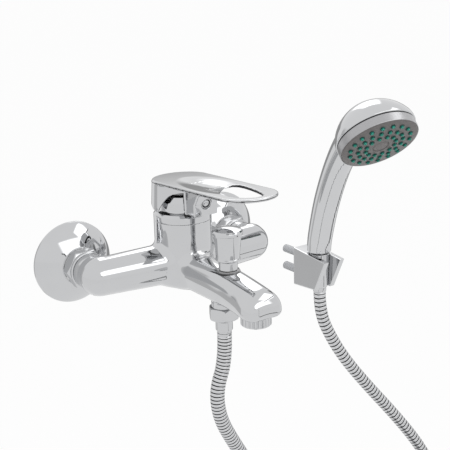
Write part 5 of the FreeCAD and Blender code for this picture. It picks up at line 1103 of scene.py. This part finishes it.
def make_world(ambient):
    world = bpy.data.worlds.new("studio")
    world.use_nodes = True
    bpy.context.scene.world = world
    nodes, links = world.node_tree.nodes, world.node_tree.links
    lit, shown = nodes["Background"], nodes.new("ShaderNodeBackground")
    set_inputs(lit, {"Color": WHITE, "Strength": ambient})
    set_inputs(shown, {"Color": WHITE})
    share = shows_background(nodes, links)
    mix_into(nodes, links, "World Output", share, lit.outputs[0], shown.outputs[0])


FLOOR_HALF_SIDE = 20000


def rectangle(name, half_width, half_height, height=0):
    """A level rectangle about the origin, in millimetres."""
    w, h = half_width, half_height
    corners = [(-w, -h, height), (w, -h, height), (w, h, height), (-w, h, height)]
    return add_mesh(name, corners, [[0, 1, 2, 3]])


def make_floor(drop, glow):
    """A pale floor that glows white to the camera and keeps its shadows."""
    floor = rectangle("floor", FLOOR_HALF_SIDE, FLOOR_HALF_SIDE, CAD_BOX[0].z / MM - drop)
    material, nodes, links = new_material("floor")
    shader = nodes["Principled BSDF"]
    set_inputs(shader, {"Base Color": (0.85, 0.85, 0.85, 1), "Roughness": 0.9})
    light = nodes.new("ShaderNodeEmission")
    share = maths(nodes, links, "MULTIPLY", shows_background(nodes, links), glow)
    mix_into(nodes, links, "Material Output", share, shader.outputs[0], light.outputs[0])
    floor.data.materials.append(material)
    floor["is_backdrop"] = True


AIM = Vector((0.06, -0.08, 0.0))


def facing(azimuth, elevation, distance):
    """A placement in a direction seen from the object, facing it."""
    way = direction(azimuth, elevation)
    return Matrix.Translation(AIM + way * distance) @ way.to_track_quat("Z", "Y").to_matrix().to_4x4()


def lamp(name, azimuth, elevation, distance, width, height, watts):
    """A soft lamp that mirrors don't see."""
    data = bpy.data.lights.new(name, "AREA")
    data.shape = "RECTANGLE"
    data.size, data.size_y, data.energy = width, height, watts
    piece = new_object(name, data)
    piece.matrix_world = facing(azimuth, elevation, distance)
    piece.visible_glossy = False


def fade(nodes, links, coordinate, half, soft):
    """1 in the middle of a card and 0 at its edge, smooth over the soft share of its half size."""
    ramp = nodes.new("ShaderNodeMapRange")
    ramp.interpolation_type = "SMOOTHSTEP"
    set_inputs(ramp, {"From Min": half * (1 - soft), "From Max": half, "To Min": 1, "To Max": 0})
    links.new(maths(nodes, links, "ABSOLUTE", coordinate), ramp.inputs["Value"])
    return ramp.outputs["Result"]


def card(name, azimuth, elevation, distance, width, height, shade, soft):
    """A flat card that only mirrors see, as bright as shade, with soft edges."""
    piece = rectangle(name, width / 2 / MM, height / 2 / MM)
    piece.matrix_world = facing(azimuth, elevation, distance)
    material, nodes, links = new_material(name)
    light = nodes.new("ShaderNodeEmission")
    set_inputs(light, {"Strength": shade})
    place, parts = nodes.new("ShaderNodeTexCoord"), nodes.new("ShaderNodeSeparateXYZ")
    links.new(place.outputs["Object"], parts.inputs[0])
    across = fade(nodes, links, parts.outputs["X"], width / 2, soft)
    upward = fade(nodes, links, parts.outputs["Y"], height / 2, soft)
    share = maths(nodes, links, "MULTIPLY", across, upward)
    clear = nodes.new("ShaderNodeBsdfTransparent")
    mix_into(nodes, links, "Material Output", share, clear.outputs[0], light.outputs[0])
    piece.data.materials.append(material)
    for kind in ("camera", "diffuse", "transmission", "shadow", "volume_scatter"):
        setattr(piece, f"visible_{kind}", False)
    piece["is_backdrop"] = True


make_world(ambient=0.45)
make_floor(drop=30, glow=0.96)
# Azimuth, elevation, distance, width, height, and watts or shade. A card ends with its soft share
lamp("key", -50, 62, 1.3, 0.9, 0.9, 9)
lamp("fill", 40, 35, 1.5, 0.8, 0.8, 4)
card("grey_behind", 146, -16, 0.7, 1.0, 0.9, 0.38, 0.2)
card("bright_above_behind", 146, 38, 1.1, 0.55, 0.7, 3.2, 0.5)
card("bright_front", 8, 34, 1.3, 1.6, 0.7, 2.1, 0.25)
card("dark_wedge", -22, 19, 1.2, 0.3, 0.06, 0.03, 0.5)
card("bright_right", 58, 48, 1.3, 0.8, 0.55, 2.2, 0.25)
card("dark_bar_right", 56, 40, 1.0, 0.9, 0.035, 0.05, 0.4)
card("grey_left", -146, -8, 1.0, 0.45, 1.2, 0.66, 0.4)
card("black_strip_right", 12, -5, 1.1, 0.035, 1.3, 0.05, 0.4)
card("low_strip", 60, -33, 0.6, 1.3, 0.03, 0.12, 0.4)

low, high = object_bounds()
